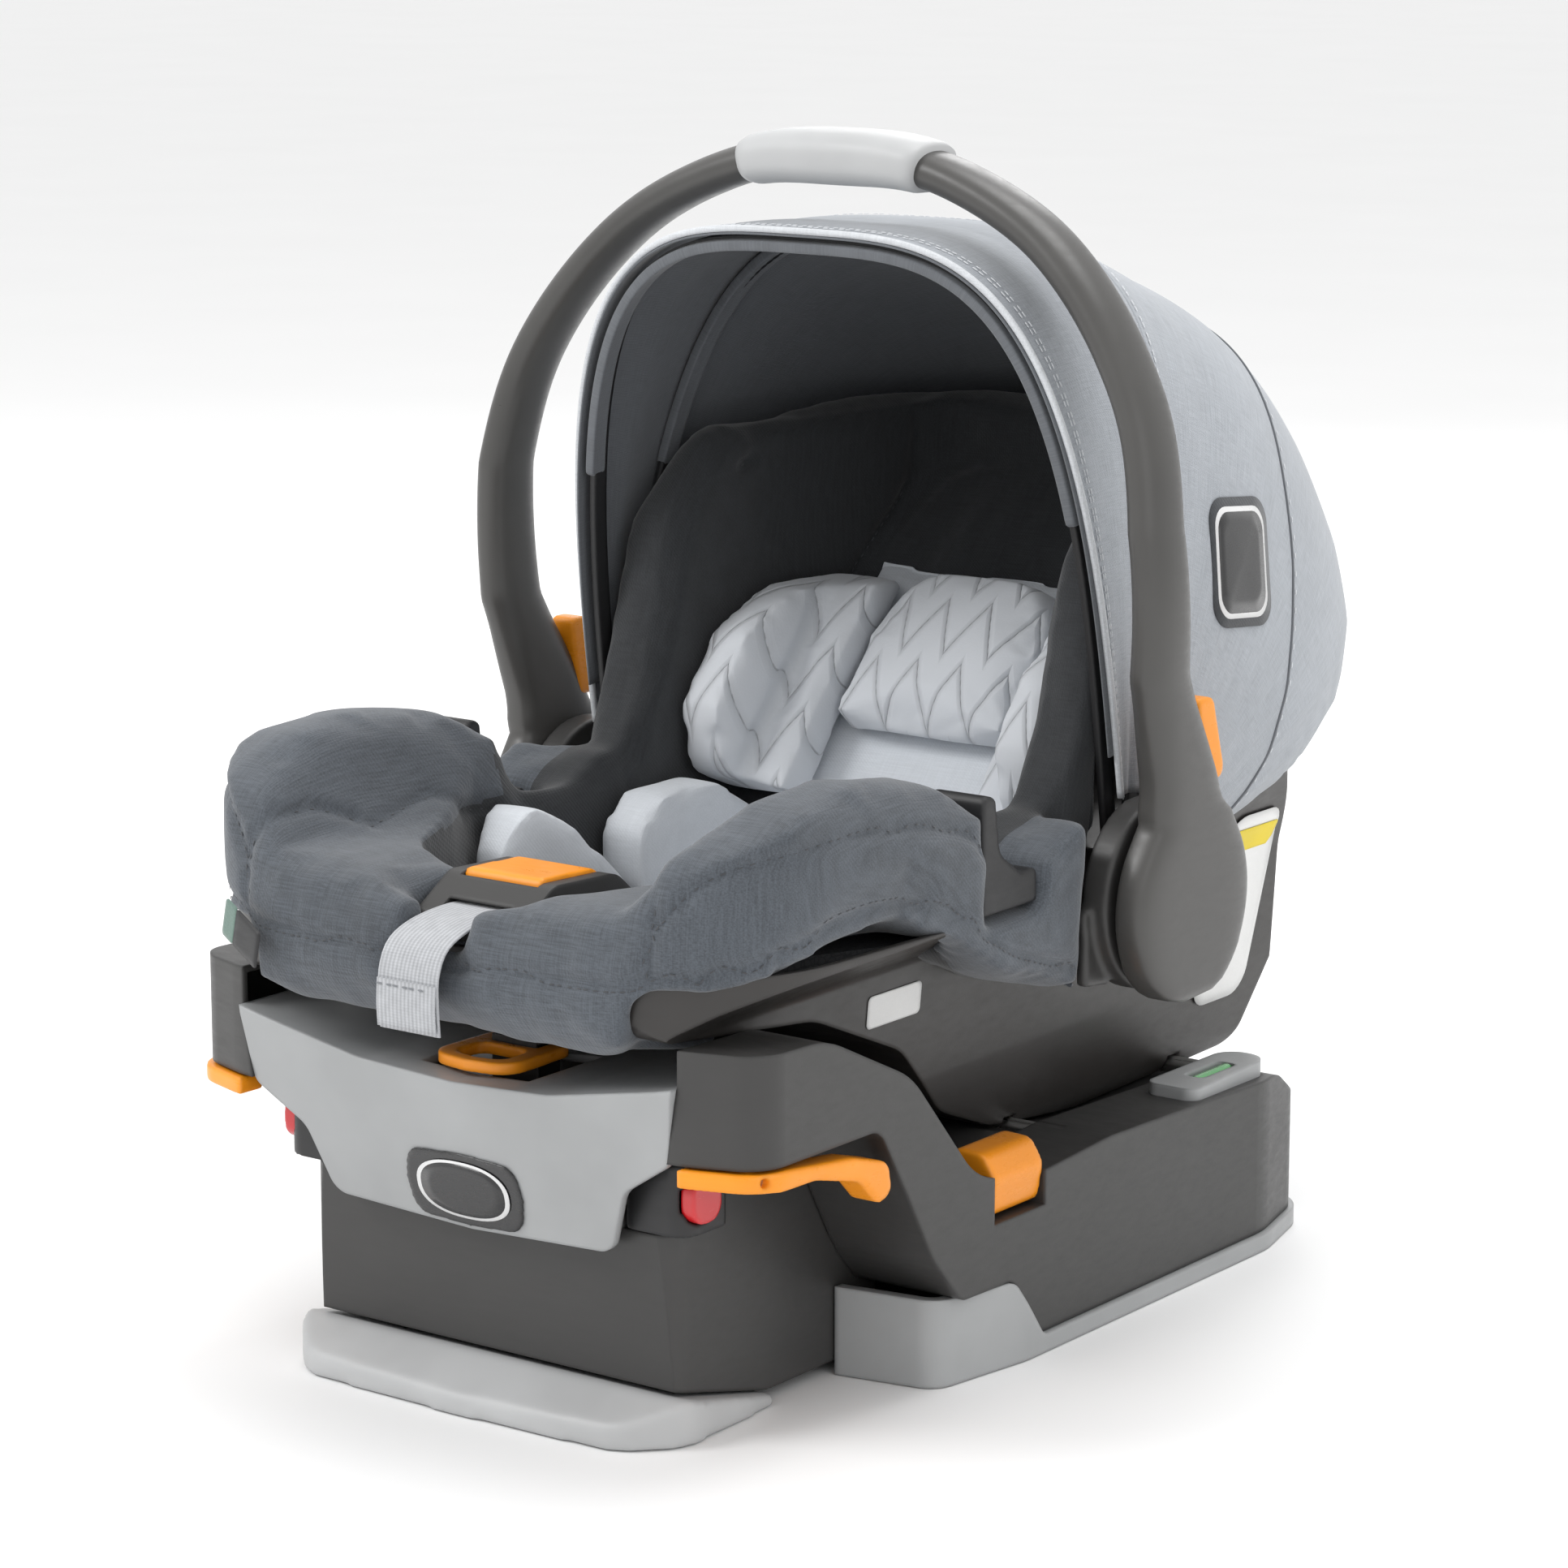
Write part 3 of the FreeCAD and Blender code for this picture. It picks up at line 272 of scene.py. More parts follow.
def webbing(name, colour, across="X"):
    """Close ribs across the strap, yarn lines along it, and an uneven tone."""
    n = Nodes(name)
    where = n.add("TexCoord").outputs["UV"]
    ribs = n.add("TexWave", {"bands_direction": "Y"}, Vector=where, Scale=220.0).outputs["Fac"]
    yarn = n.add("TexWave", {"bands_direction": "X"}, Vector=where, Scale=130.0).outputs["Fac"]
    uneven = n.noise(n.coords(kind="UV"), 160.0, 3.0)
    tone = n.maths("ADD", n.maths("MULTIPLY", yarn, 0.45), n.maths("MULTIPLY", uneven, 0.55))
    colour_now = n.mix(n.ramp(tone, 0.2, 0.8), shade(colour, 0.78), shade(colour, 1.18))
    height = n.maths("ADD", n.maths("MULTIPLY", ribs, 0.4), n.maths("MULTIPLY", yarn, 0.6))
    return n.finish(Base_Color=colour_now, Roughness=0.6, Normal=n.bump(height, 0.0005, 0.8),
                    Sheen_Weight=0.2)


# %% The palette
DARK = (0.040, 0.039, 0.038)
M = {
    "dark": plastic("dark_plastic", DARK, 0.40),
    "handle": plastic("handle_plastic", (0.066, 0.064, 0.061), 0.34, 0.6),
    "shell": plastic("shell_plastic", (0.034, 0.031, 0.029), 0.38),
    "black": plastic("black_plastic", (0.016, 0.016, 0.017), 0.42, edge_highlight=0.2),
    "light": plastic("light_plastic", (0.34, 0.348, 0.352), 0.38, 0.7),
    "pale": plastic("pale_plastic", (0.46, 0.466, 0.47), 0.45, 0.7, 0.2),
    "orange": plastic("orange_plastic", (0.90, 0.30, 0.010), 0.30, 0.5, 0.25),
    "red": plastic("red_plastic", (0.62, 0.012, 0.018), 0.22, 0.3, 0.2, 0.4),
    "green": plastic("green_vial", (0.02, 0.36, 0.05), 0.08, 0.0, 0.0, 1.0),
    "badge": plastic("badge_black", (0.012, 0.012, 0.013), 0.25, 0.3, 0.1, 0.5),
    "ring": plastic("badge_ring", (0.75, 0.75, 0.75), 0.3, 0.2, 0.1),
    "steel": metal("steel", (0.62, 0.62, 0.61)),
    "foam": bead_foam("bead_foam", (0.060, 0.062, 0.066)),
    "slate": fabric("slate_twill", (0.070, 0.080, 0.094), 0.30),
    "charcoal": fabric("charcoal_twill", (0.022, 0.024, 0.027), 0.26),
    "canopy": fabric("canopy_heather", (0.34, 0.362, 0.392), 0.16, 0.5, kind="UV"),
    "inner": fabric("canopy_lining", (0.125, 0.134, 0.147), 0.12, 0.4, kind="UV"),
    "trim": fabric("canopy_binding", (0.60, 0.62, 0.645), 0.10),
    "darktrim": fabric("dark_binding", (0.050, 0.054, 0.060), 0.2),
    "insert": fabric("insert_knit", (0.66, 0.69, 0.73), 0.05, 0.35, sheen=0.35),
    "quilt": quilted("insert_quilt", (0.66, 0.685, 0.72)),
    "web": webbing("grey_webbing", (0.42, 0.43, 0.45)),
    "darkweb": webbing("black_webbing", (0.03, 0.03, 0.032)),
    "thread": fabric("thread", (0.20, 0.21, 0.225), 0.1, 0.2),
    "darkthread": fabric("dark_thread", (0.055, 0.058, 0.064), 0.1, 0.2),
    "label": fabric("label_white", (0.80, 0.80, 0.79), 0.02, 0.1, sheen=0.0, rough=0.5),
    "yellow": plastic("label_yellow", (0.80, 0.62, 0.02), 0.5, 0.2, 0.0),
    "leaf": fabric("tag_green", (0.13, 0.20, 0.17), 0.1, 0.3),
}
print(len(M), "materials")

# %% Materials of the hard parts
HARD = {
    "dark": ["base_casing", "front_box", "foot_guide", "adjuster_housing", "hub_sockets"],
    "shell": ["seat_shell", "release_handle"],
    "handle": ["handle_bow"],
    "black": ["latch_connector_right", "latch_connector_left", "belt_guides", "crotch_buckle",
              "canopy_middle_bow", "canopy_front_bow"],
    "light": ["front_panel", "base_tray", "level_covers"],
    "pale": ["levelling_foot", "handle_grip"],
    "orange": ["lockoff_right", "lockoff_left", "foot_lever_right", "foot_lever_left", "adjuster_button",
               "tightener_loop", "handle_button_right", "handle_button_left"],
    "red": ["latch_button_right", "latch_button_left", "buckle_button"],
    "green": ["level_vials"],
    "badge": ["front_badge"],
    "steel": ["base_screws", "receiver_bars", "lockoff_pins", "foot_lever_pins", "pivot_pins",
              "splitter_plate", "release_link", "latch_hook_right", "latch_hook_left",
              "latch_hook_pins", "handle_lock_rings"],
    "foam": ["foam_liner"],
}
for key, names in HARD.items():
    for name in names:
        nodes_of[name].data.materials.clear()
        nodes_of[name].data.materials.append(M[key])
print(sum(len(v) for v in HARD.values()), "hard nodes painted")

# %% Rounder forms for thick mouldings
ROUNDED = {
    "levelling_foot": (0.0022, 8), "front_badge": (0.0008, 6),
    "lockoff_right": (0.0012, 6), "lockoff_left": (0.0012, 6), "foot_lever_right": (0.0012, 6),
    "foot_lever_left": (0.0012, 6), "handle_button_right": (0.0010, 6), "handle_button_left": (0.0010, 6),
    "adjuster_button": (0.0010, 6), "tightener_loop": (0.0008, 6),
    "latch_connector_right": (0.0010, 4), "latch_connector_left": (0.0010, 4), "belt_guides": (0.0013, 6),
    "latch_button_right": (0.0007, 5), "latch_button_left": (0.0007, 5), "hub_sockets": (0.0016, 5)}
for name, (voxel, passes) in ROUNDED.items():
    o = nodes_of[name]
    fine = o.modifiers.new("remesh", "REMESH")
    fine.mode = "VOXEL"
    fine.voxel_size = voxel
    fine.use_smooth_shade = True
    ease = o.modifiers.new("ease", "SMOOTH")
    ease.iterations = passes
    ease.factor = 0.6
print(len(ROUNDED), "nodes rounded")

# %% The floor
floor_mesh = bpy.data.meshes.new("floor")
floor_mesh.from_pydata([(-20, -20, 0), (20, -20, 0), (20, 20, 0), (-20, 20, 0)], [], [(0, 1, 2, 3)])
floor = bpy.data.objects.new("floor", floor_mesh)
floor.location.z = -0.0005
scene.collection.objects.link(floor)
paint = Nodes("floor_paint")
speck = paint.noise(paint.coords(), 3.0)
floor_mesh.materials.append(paint.finish(
    Base_Color=paint.mix(speck, (0.90, 0.90, 0.90, 1), (0.93, 0.93, 0.93, 1)), Roughness=0.65))

# %% [markdown]
# ## Mesh helpers
# Sheets, tubes, ribbons, stitches, and the padding recipe: copy a solid, remesh it, blow it up as
# cloth, then press the seams into it.


# %% Basic mesh pieces
def piece(name, points, faces, material, smooth=True):
    mesh = bpy.data.meshes.new(name)
    mesh.from_pydata([tuple(p) for p in points], [], faces)
    mesh.update()
    mesh.polygons.foreach_set("use_smooth", [smooth] * len(mesh.polygons))
    o = bpy.data.objects.new(name, mesh)
    scene.collection.objects.link(o)
    mesh.materials.append(material)
    return o


def strip_faces(rows, cols, closed=False):
    wide = cols if closed else cols - 1
    return [(r * cols + c, r * cols + (c + 1) % cols, (r + 1) * cols + (c + 1) % cols, (r + 1) * cols + c)
            for r in range(rows - 1) for c in range(wide)]


def smooth_path(points, spacing=0.003, closed=False):
    """Points evenly spaced on a smooth curve through the given ones."""
    p = [Vector(q) for q in points]
    n = len(p)
    dense = []
    for i in range(n if closed else n - 1):
        a = p[(i - 1) % n] if closed or i > 0 else p[0] * 2 - p[1]
        b, c = p[i], p[(i + 1) % n]
        d = p[(i + 2) % n] if closed or i + 2 < n else c * 2 - b
        for k in range(16):
            t = k / 16
            dense.append(0.5 * ((2 * b) + (c - a) * t + (2 * a - 5 * b + 4 * c - d) * t * t
                                + (3 * b - a - 3 * c + d) * t ** 3))
    dense.append(p[0].copy() if closed else p[-1].copy())
    lengths = [0.0]
    for a, b in zip(dense, dense[1:]):
        lengths.append(lengths[-1] + (b - a).length)
    count = max(4, int(lengths[-1] / spacing))
    wanted = np.linspace(0.0, lengths[-1], count + 1)
    table = np.array([tuple(q) for q in dense])
    return [Vector([float(np.interp(w, lengths, table[:, k])) for k in range(3)]) for w in wanted]


def frames_along(path, ups=None):
    """Direction, side and up at each point of a path."""
    out = []
    for i, p in enumerate(path):
        ahead = (path[min(i + 1, len(path) - 1)] - path[max(i - 1, 0)]).normalized()
        up = ups[i] if ups else Vector((0, 0, 1))
        side = ahead.cross(up)
        side = side.normalized() if side.length > 1e-6 else Vector((1, 0, 0))
        out.append((ahead, side, side.cross(ahead).normalized()))
    return out


def tube(name, path, radius, material, sides=8, ups=None, flat=1.0):
    rings = []
    for p, (ahead, side, up) in zip(path, frames_along(path, ups)):
        for k in range(sides):
            a = 2 * math.pi * k / sides
            rings.append(p + side * (radius * math.cos(a)) + up * (radius * flat * math.sin(a)))
    faces = strip_faces(len(path), sides, True)
    faces.append(tuple(reversed(range(sides))))
    faces.append(tuple(range(len(rings) - sides, len(rings))))
    return piece(name, rings, faces, material)


def stitches(name, path, ups, material, length=0.0034, gap=0.0016, width=0.0005, high=0.00035):
    """A row of short threads lying on a surface."""
    points, faces = [], []
    step = (path[1] - path[0]).length
    run = 0.0
    marks = frames_along(path, ups)
    while run + length < step * (len(path) - 1):
        i = min(len(path) - 1, int((run + length / 2) / step))
        ahead, side, up = marks[i]
        middle = path[i]
        base = len(points)
        for along, wide in ((-0.5, 0.35), (-0.3, 1.0), (0.3, 1.0), (0.5, 0.35)):
            for a in range(4):
                turn = math.pi * (a / 3)
                points.append(middle + ahead * (along * length) + side * (width * wide * math.cos(turn))
                              + up * (high * wide * math.sin(turn) + 0.0001))
        faces += [tuple(base + v for v in f) for f in strip_faces(4, 4)]
        run += length + gap
    return piece(name, points, faces, material)


def ribbon(name, path, width, thick, material, ups=None, belly=0.0):
    """A flat strap along a path, with rolled edges and UVs in metres."""
    section = [(-0.5, 0.0), (-0.485, 0.42), (-0.44, 0.5), (-0.2, 0.46), (0.0, 0.46), (0.2, 0.46), (0.44, 0.5),
               (0.485, 0.42), (0.5, 0.0), (0.485, -0.42), (0.44, -0.5), (0.0, -0.46), (-0.44, -0.5),
               (-0.485, -0.42)]
    points, uvs = [], []
    run = 0.0
    for i, (p, (ahead, side, up)) in enumerate(zip(path, frames_along(path, ups))):
        run += (p - path[i - 1]).length if i else 0.0
        for u, v in section:
            points.append(p + side * (u * width) + up * (v * thick + belly * (1 - 4 * u * u)))
            uvs.append((u * width, run))
    n = len(section)
    faces = strip_faces(len(path), n, True)
    faces += [tuple(reversed(range(n))), tuple(range(len(points) - n, len(points)))]
    o = piece(name, points, faces, material)
    layer = o.data.uv_layers.new(name="UVMap")
    for loop in o.data.loops:
        layer.data[loop.index].uv = uvs[loop.vertex_index]
    return o


def applied(o):
    """The object with its modifiers made part of its mesh."""
    bpy.context.view_layer.update()
    made = bpy.data.meshes.new_from_object(o.evaluated_get(bpy.context.evaluated_depsgraph_get()))
    old = o.data
    made.name = old.name
    o.modifiers.clear()
    o.data = made
    bpy.data.meshes.remove(old)
    return o


def positions(o):
    co = np.zeros(len(o.data.vertices) * 3)
    o.data.vertices.foreach_get("co", co)
    return co.reshape(-1, 3)


def place(o, co):
    o.data.vertices.foreach_set("co", np.ascontiguousarray(co, np.float32).ravel())
    o.data.update()


def normals(o):
    n = np.zeros(len(o.data.vertices) * 3)
    o.data.vertices.foreach_get("normal", n)
    return n.reshape(-1, 3)


# %% The padding recipe
def padding(name, node, voxel, pressure, cap, material, steps=20, shrink=0.0, smooth=4):
    """The node's solid as a stuffed form: remeshed, blown up as cloth, and smoothed."""
    o = bpy.data.objects.new(name, nodes_of[node].data.copy())
    scene.collection.objects.link(o)
    o.data.materials.clear()
    o.data.materials.append(material)
    fine = o.modifiers.new("remesh", "REMESH")
    fine.mode = "VOXEL"
    fine.voxel_size = voxel
    relax = o.modifiers.new("relax", "SMOOTH")
    relax.iterations = smooth
    relax.factor = 0.5
    applied(o)
    place(o, positions(o) - normals(o) * shrink)
    start = positions(o)
    if pressure:
        cloth = o.modifiers.new("cloth", "CLOTH")
        s = cloth.settings
        s.quality = 4
        s.mass = 0.25
        s.tension_stiffness = 12
        s.compression_stiffness = 12
        s.shear_stiffness = 6
        s.bending_stiffness = 0.4
        s.use_pressure = True
        s.uniform_pressure_force = pressure
        s.effector_weights.gravity = 0.0
        cloth.collision_settings.use_collision = False
        scene.frame_start = 1
        scene.frame_end = steps
        for f in range(1, steps + 1):
            scene.frame_set(f)
        applied(o)
        scene.frame_set(1)
        move = positions(o) - start
        far = np.linalg.norm(move, axis=1, keepdims=True)
        place(o, start + move * np.minimum(1.0, cap / np.maximum(far, 1e-9)))
    o.data.polygons.foreach_set("use_smooth", [True] * len(o.data.polygons))
    return o


def refine(o):
    sub = o.modifiers.new("subdivision", "SUBSURF")
    sub.levels = 1
    sub.render_levels = 1
    applied(o)
    o.data.polygons.foreach_set("use_smooth", [True] * len(o.data.polygons))
    return o


def snapped(o, points, spacing=0.003, lift=0.0, closed=False):
    """A smooth path through the points, laid on a piece's surface, with the normals there."""
    tree = BVHTree.FromObject(o, bpy.context.evaluated_depsgraph_get())
    path, ups = [], []
    for p in smooth_path(points, spacing, closed):
        at, up, _, _ = tree.find_nearest(p)
        path.append(at)
        ups.append(up)
    soft, tops = [], []
    for i in range(len(path)):
        near = range(max(0, i - 3), min(len(path), i + 4))
        up = sum((ups[k] for k in near), Vector()).normalized()
        soft.append(sum((path[k] for k in near), Vector()) / len(near) + up * lift)
        tops.append(up)
    return soft, tops


def press(o, paths, depth, width):
    """Pulls the surface in along paths, as a sewn seam does."""
    co, nn = positions(o), normals(o)
    dots = np.array([tuple(p) for path in paths for p in path])
    for low in range(0, len(co), 4000):
        part = co[low:low + 4000]
        box_low, box_high = part.min(0) - width, part.max(0) + width
        near = dots[np.all((dots > box_low) & (dots < box_high), axis=1)]
        if not len(near):
            continue
        gap = np.sqrt(((part[:, None, :] - near[None, :, :]) ** 2).sum(2).min(1))
        pull = np.clip(1 - gap / width, 0, 1) ** 2 * depth
        co[low:low + 4000] -= nn[low:low + 4000] * pull[:, None]
    place(o, co)


def ruffle(o, size, scale, stretch=(1, 1, 1), seed=0.0, where=None):
    """Slow, uneven swelling of a surface."""
    co, nn = positions(o), normals(o)
    amount = np.array([noise.noise(Vector((p[0] * scale * stretch[0] + seed, p[1] * scale * stretch[1],
                                           p[2] * scale * stretch[2]))) for p in co]) * size
    if where is not None:
        amount *= where(co)
    place(o, co + nn * amount[:, None])


print("helpers ready")

# %% [markdown]
# ## Canopy
# One light cloth is stretched over two sprung bows and drawn in behind the shell. It is a grid of
# points: an arch across, turned about the pivot that the bows share. The cloth dips between bows.

# %% The canopy's form
PIVOT = Vector((0.0, 0.082, 0.225))
HEM, MIDDLE, SEAM, REAR = -9.0, 12.0, 34.0, 84.0
KNOTS = np.array([
    (-9, 0.1718, 0.3363, 0.050), (-4, 0.1712, 0.3345, 0.050), (3, 0.1700, 0.3325, 0.050),
    (9, 0.1722, 0.3360, 0.050), (12, 0.1732, 0.3380, 0.050), (16, 0.1722, 0.3350, 0.050),
    (24, 0.1728, 0.3345, 0.050), (34, 0.1752, 0.3400, 0.050), (50, 0.1772, 0.3465, 0.052),
    (62, 0.1775, 0.3490, 0.054), (70, 0.1762, 0.3460, 0.058), (76, 0.1725, 0.3340, 0.064),
    (81, 0.1660, 0.2960, 0.072), (84, 0.1585, 0.2440, 0.080)])


def arch_points(angle, count, inward=0.0):
    """Evenly spaced points across the canopy at an angle from upright, +X leg first."""
    half, radius, low = (float(np.interp(angle, KNOTS[:, 0], KNOTS[:, k])) for k in (1, 2, 3))
    turn = np.linspace(0.0, math.pi, 1500)
    c, s = np.cos(turn), np.clip(np.sin(turn), 0, None)
    x = (half - inward) * np.sign(c) * np.abs(c) ** 0.5714
    h = (radius - inward) * s ** 0.5714
    keep = h >= low
    x = np.concatenate(([half - inward], x[keep], [inward - half]))
    h = np.concatenate(([low], h[keep], [low]))
    run = np.concatenate(([0], np.cumsum(np.hypot(np.diff(x), np.diff(h)))))
    even = np.linspace(0, run[-1], count)
    return np.interp(even, run, x), np.interp(even, run, h), run[-1]


def turned(x, h, angle):
    a = math.radians(angle)
    return Vector((x, PIVOT.y + h * math.sin(a), PIVOT.z + h * math.cos(a)))


def creases(u, angle, x, h):
    """Slack between the bows and gathers along the drawn-in rear edge."""
    leg = min(1.0, max(0.0, 1.0 - h / 0.24))
    sag = 0.0012 * math.sin(angle * 0.9 + 6 * abs(x) * 8) * leg
    gather = max(0.0, (angle - 66) / 18) ** 1.5
    pulls = 0.0016 * gather * math.sin(u * 150 + 2.5 * math.sin(u * 31))
    slow = 0.0022 * noise.noise(Vector((x * 9, angle * 0.06, h * 8)))
    ease = 1.0 if angle > MIDDLE + 4 else 0.35
    return sag + pulls + slow * ease


def canopy_sheet(name, start, end, rows, cols, outside, inside, thick):
    """Cloth from one angle to another. UVs are in metres, along the arch and along the sweep."""
    points, uvs = [], []
    for r in range(rows):
        angle = start + (end - start) * r / (rows - 1)
        xs, hs, length = arch_points(angle, cols)
        for c in range(cols):
            u = c / (cols - 1)
            x, h = float(xs[c]), float(hs[c])
            outward = Vector((x / 0.17, h / 0.34)).normalized()
            lift = creases(u, angle, x, h)
            points.append(turned(x + outward.x * lift * 0.4, h + outward.y * lift, angle))
            uvs.append((length * u, math.radians(angle) * 0.30))
    o = piece(name, points, strip_faces(rows, cols), outside)
    o.data.materials.append(inside)
    layer = o.data.uv_layers.new(name="UVMap")
    for loop in o.data.loops:
        layer.data[loop.index].uv = uvs[loop.vertex_index]
    middle = o.data.polygons[len(o.data.polygons) // 2]
    if middle.normal.dot(middle.center - PIVOT) < 0:
        o.data.flip_normals()
    flat = sum(p.area for p in o.data.polygons)
    skin = o.modifiers.new("thickness", "SOLIDIFY")
    skin.thickness = thick
    skin.offset = -1.0
    skin.material_offset = 1
    skin.material_offset_rim = 0
    applied(o)
    o.data.polygons.foreach_set("use_smooth", [True] * len(o.data.polygons))
    return o, flat


def angle_of(co):
    return np.degrees(np.arctan2(co[:, 1] - PIVOT.y, co[:, 2] - PIVOT.z))


def swing(o, start, end):
    """Bakes the cloth's placement into its mesh and works out each point's share of the way from the start
    angle to the end angle; nothing uses the share.
    """
    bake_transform(o)
    share = np.clip((angle_of(positions(o)) - start) / (end - start), 0, 1)
    return o


CLOTH_THICK = 0.0013
front_cloth, front_area = canopy_sheet("canopy_front_cloth", HEM, MIDDLE, 30, 193,
                                       M["canopy"], M["inner"], CLOTH_THICK)
back_cloth, back_area = canopy_sheet("canopy_back_cloth", MIDDLE, REAR, 110, 193,
                                     M["canopy"], M["inner"], CLOTH_THICK)
print("canopy cloth", round(front_area, 3), round(back_area, 3), "square metres")


# %% Canopy seams, hem and bow sleeves
def arch_path(angle, inward=0.0, bottom=0.0, spacing=0.004):
    """The arch as a path, on the cloth or inside it, with outward directions."""
    steps = 240
    xs, hs, _ = arch_points(angle, steps, inward)
    raw = [turned(float(x), float(h), angle) for x, h in zip(xs, hs) if h >= bottom]
    path = smooth_path(raw, spacing)
    ups = []
    for p in path:
        flat = Vector((p.x / 0.175, p.y - PIVOT.y, p.z - PIVOT.z))
        sideways = p.x / abs(p.x) if abs(p.x) > 0.15 else p.x * 4
        ups.append(Vector((sideways, flat.y * 2, flat.z * 2)).normalized())
    return path, ups


canopy_trim = {}
path, ups = arch_path(HEM, -0.0002)
canopy_trim["canopy_hem_binding"] = (
    tube("canopy_hem_binding", path, 0.0019, M["trim"], ups=ups), "front")
for k, angle in enumerate((HEM + 1.9, HEM + 2.5)):
    path, ups = arch_path(angle, -0.0004, spacing=0.002)
    canopy_trim[f"canopy_hem_stitch_{k}"] = (
        stitches(f"canopy_hem_stitch_{k}", path, ups, M["trim"]), "front")
path, ups = arch_path(HEM + 0.7, CLOTH_THICK + 0.0006, 0.07)
canopy_trim["canopy_hem_lining"] = (
    ribbon("canopy_hem_lining", path, 0.012, 0.0012, M["inner"], ups), "front")
path, ups = arch_path(MIDDLE, CLOTH_THICK + 0.0004, 0.07)
canopy_trim["canopy_bow_piping"] = (
    tube("canopy_bow_piping", path, 0.0017, M["darktrim"], ups=ups), "back")
for k, angle in enumerate((MIDDLE - 1.2, MIDDLE + 1.2)):
    path, ups = arch_path(angle, -0.0004, spacing=0.002)
    canopy_trim[f"canopy_bow_stitch_{k}"] = (
        stitches(f"canopy_bow_stitch_{k}", path, ups, M["trim"]), "front" if k == 0 else "back")


def seam_on_cloth(name, marks, material, lift, kind="stitch"):
    """A seam over the canopy through (fraction across, angle) marks."""
    raw = []
    for u, angle in marks:
        xs, hs, _ = arch_points(angle, 401)
        c = min(400, max(0, int(round(u * 400))))
        raw.append(turned(float(xs[c]) * 1.035, float(hs[c]) + 0.006, angle))
    path, ups = snapped(back_cloth, raw, 0.002, 0.0)
    out = []
    for p, up in zip(path, ups):
        away = Vector((p.x * 1.5, p.y - PIVOT.y, p.z - PIVOT.z))
        out.append(up if up.dot(away) > 0 else -up)
    path = [p + up * lift for p, up in zip(path, out)]
    if kind == "stitch":
        return stitches(name, path, out, material)
    return tube(name, path, 0.0008, material, 6, out)


SEAM_MARKS = [(0.035, 78), (0.085, 72), (0.14, 62), (0.20, 51), (0.27, 42), (0.36, 37), (0.5, 35),
              (0.64, 37), (0.73, 42), (0.80, 51), (0.86, 62), (0.915, 72), (0.965, 78)]
canopy_trim["canopy_rear_seam"] = (
    seam_on_cloth("canopy_rear_seam", SEAM_MARKS, M["inner"], 0.0003, "tube"), "back")
TOP_MARKS = [(u, a + 1.2) for u, a in SEAM_MARKS]
canopy_trim["canopy_rear_seam_stitch"] = (
    seam_on_cloth("canopy_rear_seam_stitch", TOP_MARKS, M["trim"], 0.0002), "back")

for name, angle, body, node, inset in (
        ("canopy_front_sleeve", HEM + 0.8, "front_bow", "canopy_front_bow", 0.0088),
        ("canopy_middle_sleeve", MIDDLE, "middle_bow", "canopy_middle_bow", 0.0063)):
    path, ups = arch_path(angle, inset, 0.19)
    sleeve = ribbon(name, path, 0.011, 0.0058, M["inner"], ups, 0.0006)
    sub = sleeve.modifiers.new("soft", "SUBSURF")
    sub.levels = sub.render_levels = 1
    applied(sleeve)
    sleeve.data.polygons.foreach_set("use_smooth", [True] * len(sleeve.data.polygons))
    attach(sleeve, body)

for o, side in [(front_cloth, "front"), (back_cloth, "back")] + list(canopy_trim.values()):
    if side == "front":
        swing(o, MIDDLE, HEM)
    else:
        swing(o, REAR, MIDDLE)
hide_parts("canopy_front_panel")
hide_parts("canopy_middle_panel", "canopy_rear_panel")
print(len(canopy_trim) + 4, "canopy pieces")

# %% [markdown]
# ## Carry handle
# The arms are oval tubes that widen into round hubs. A soft grip sleeve covers the middle of the bar.


# %% The handle and its grip
def loft(name, centres, insides, half_thick, half_wide, material, power=2.3, sides=40):
    """Superellipse sections along a path in the XZ plane; their other axis is Y."""
    points = []
    for p, inside, a, b, k in zip(centres, insides, half_thick, half_wide, power):
        for i in range(sides):
            t = 2 * math.pi * i / sides
            c, s = math.cos(t), math.sin(t)
            points.append(p + inside * (a * math.copysign(abs(c) ** (2 / k), c))
                          + Vector((0, b * math.copysign(abs(s) ** (2 / k), s), 0)))
    faces = strip_faces(len(centres), sides, True)
    faces += [tuple(reversed(range(sides))), tuple(range(len(points) - sides, len(points)))]
    return piece(name, points, faces, material)


HUB_R = 0.054
ARCH = [(0.2046, 0.1712), (0.2048, 0.20), (0.2050, 0.225), (0.2056, 0.26), (0.2088, 0.32), (0.2118, 0.378),
        (0.2085, 0.425), (0.1985, 0.468), (0.1800, 0.503), (0.1540, 0.535), (0.1240, 0.560), (0.0860, 0.579),
        (0.0460, 0.5905), (0.0, 0.5925)]
ARM_Z = [0.18, 0.23, 0.26, 0.29, 0.345, 0.42, 0.50, 0.56, 0.60]
ARM_LOW = [0.058, 0.0535, 0.050, 0.0445, 0.0275, 0.0255, 0.038, 0.0485, 0.0545]
ARM_HIGH = [0.118, 0.116, 0.111, 0.1005, 0.0690, 0.0630, 0.0735, 0.0835, 0.0885]


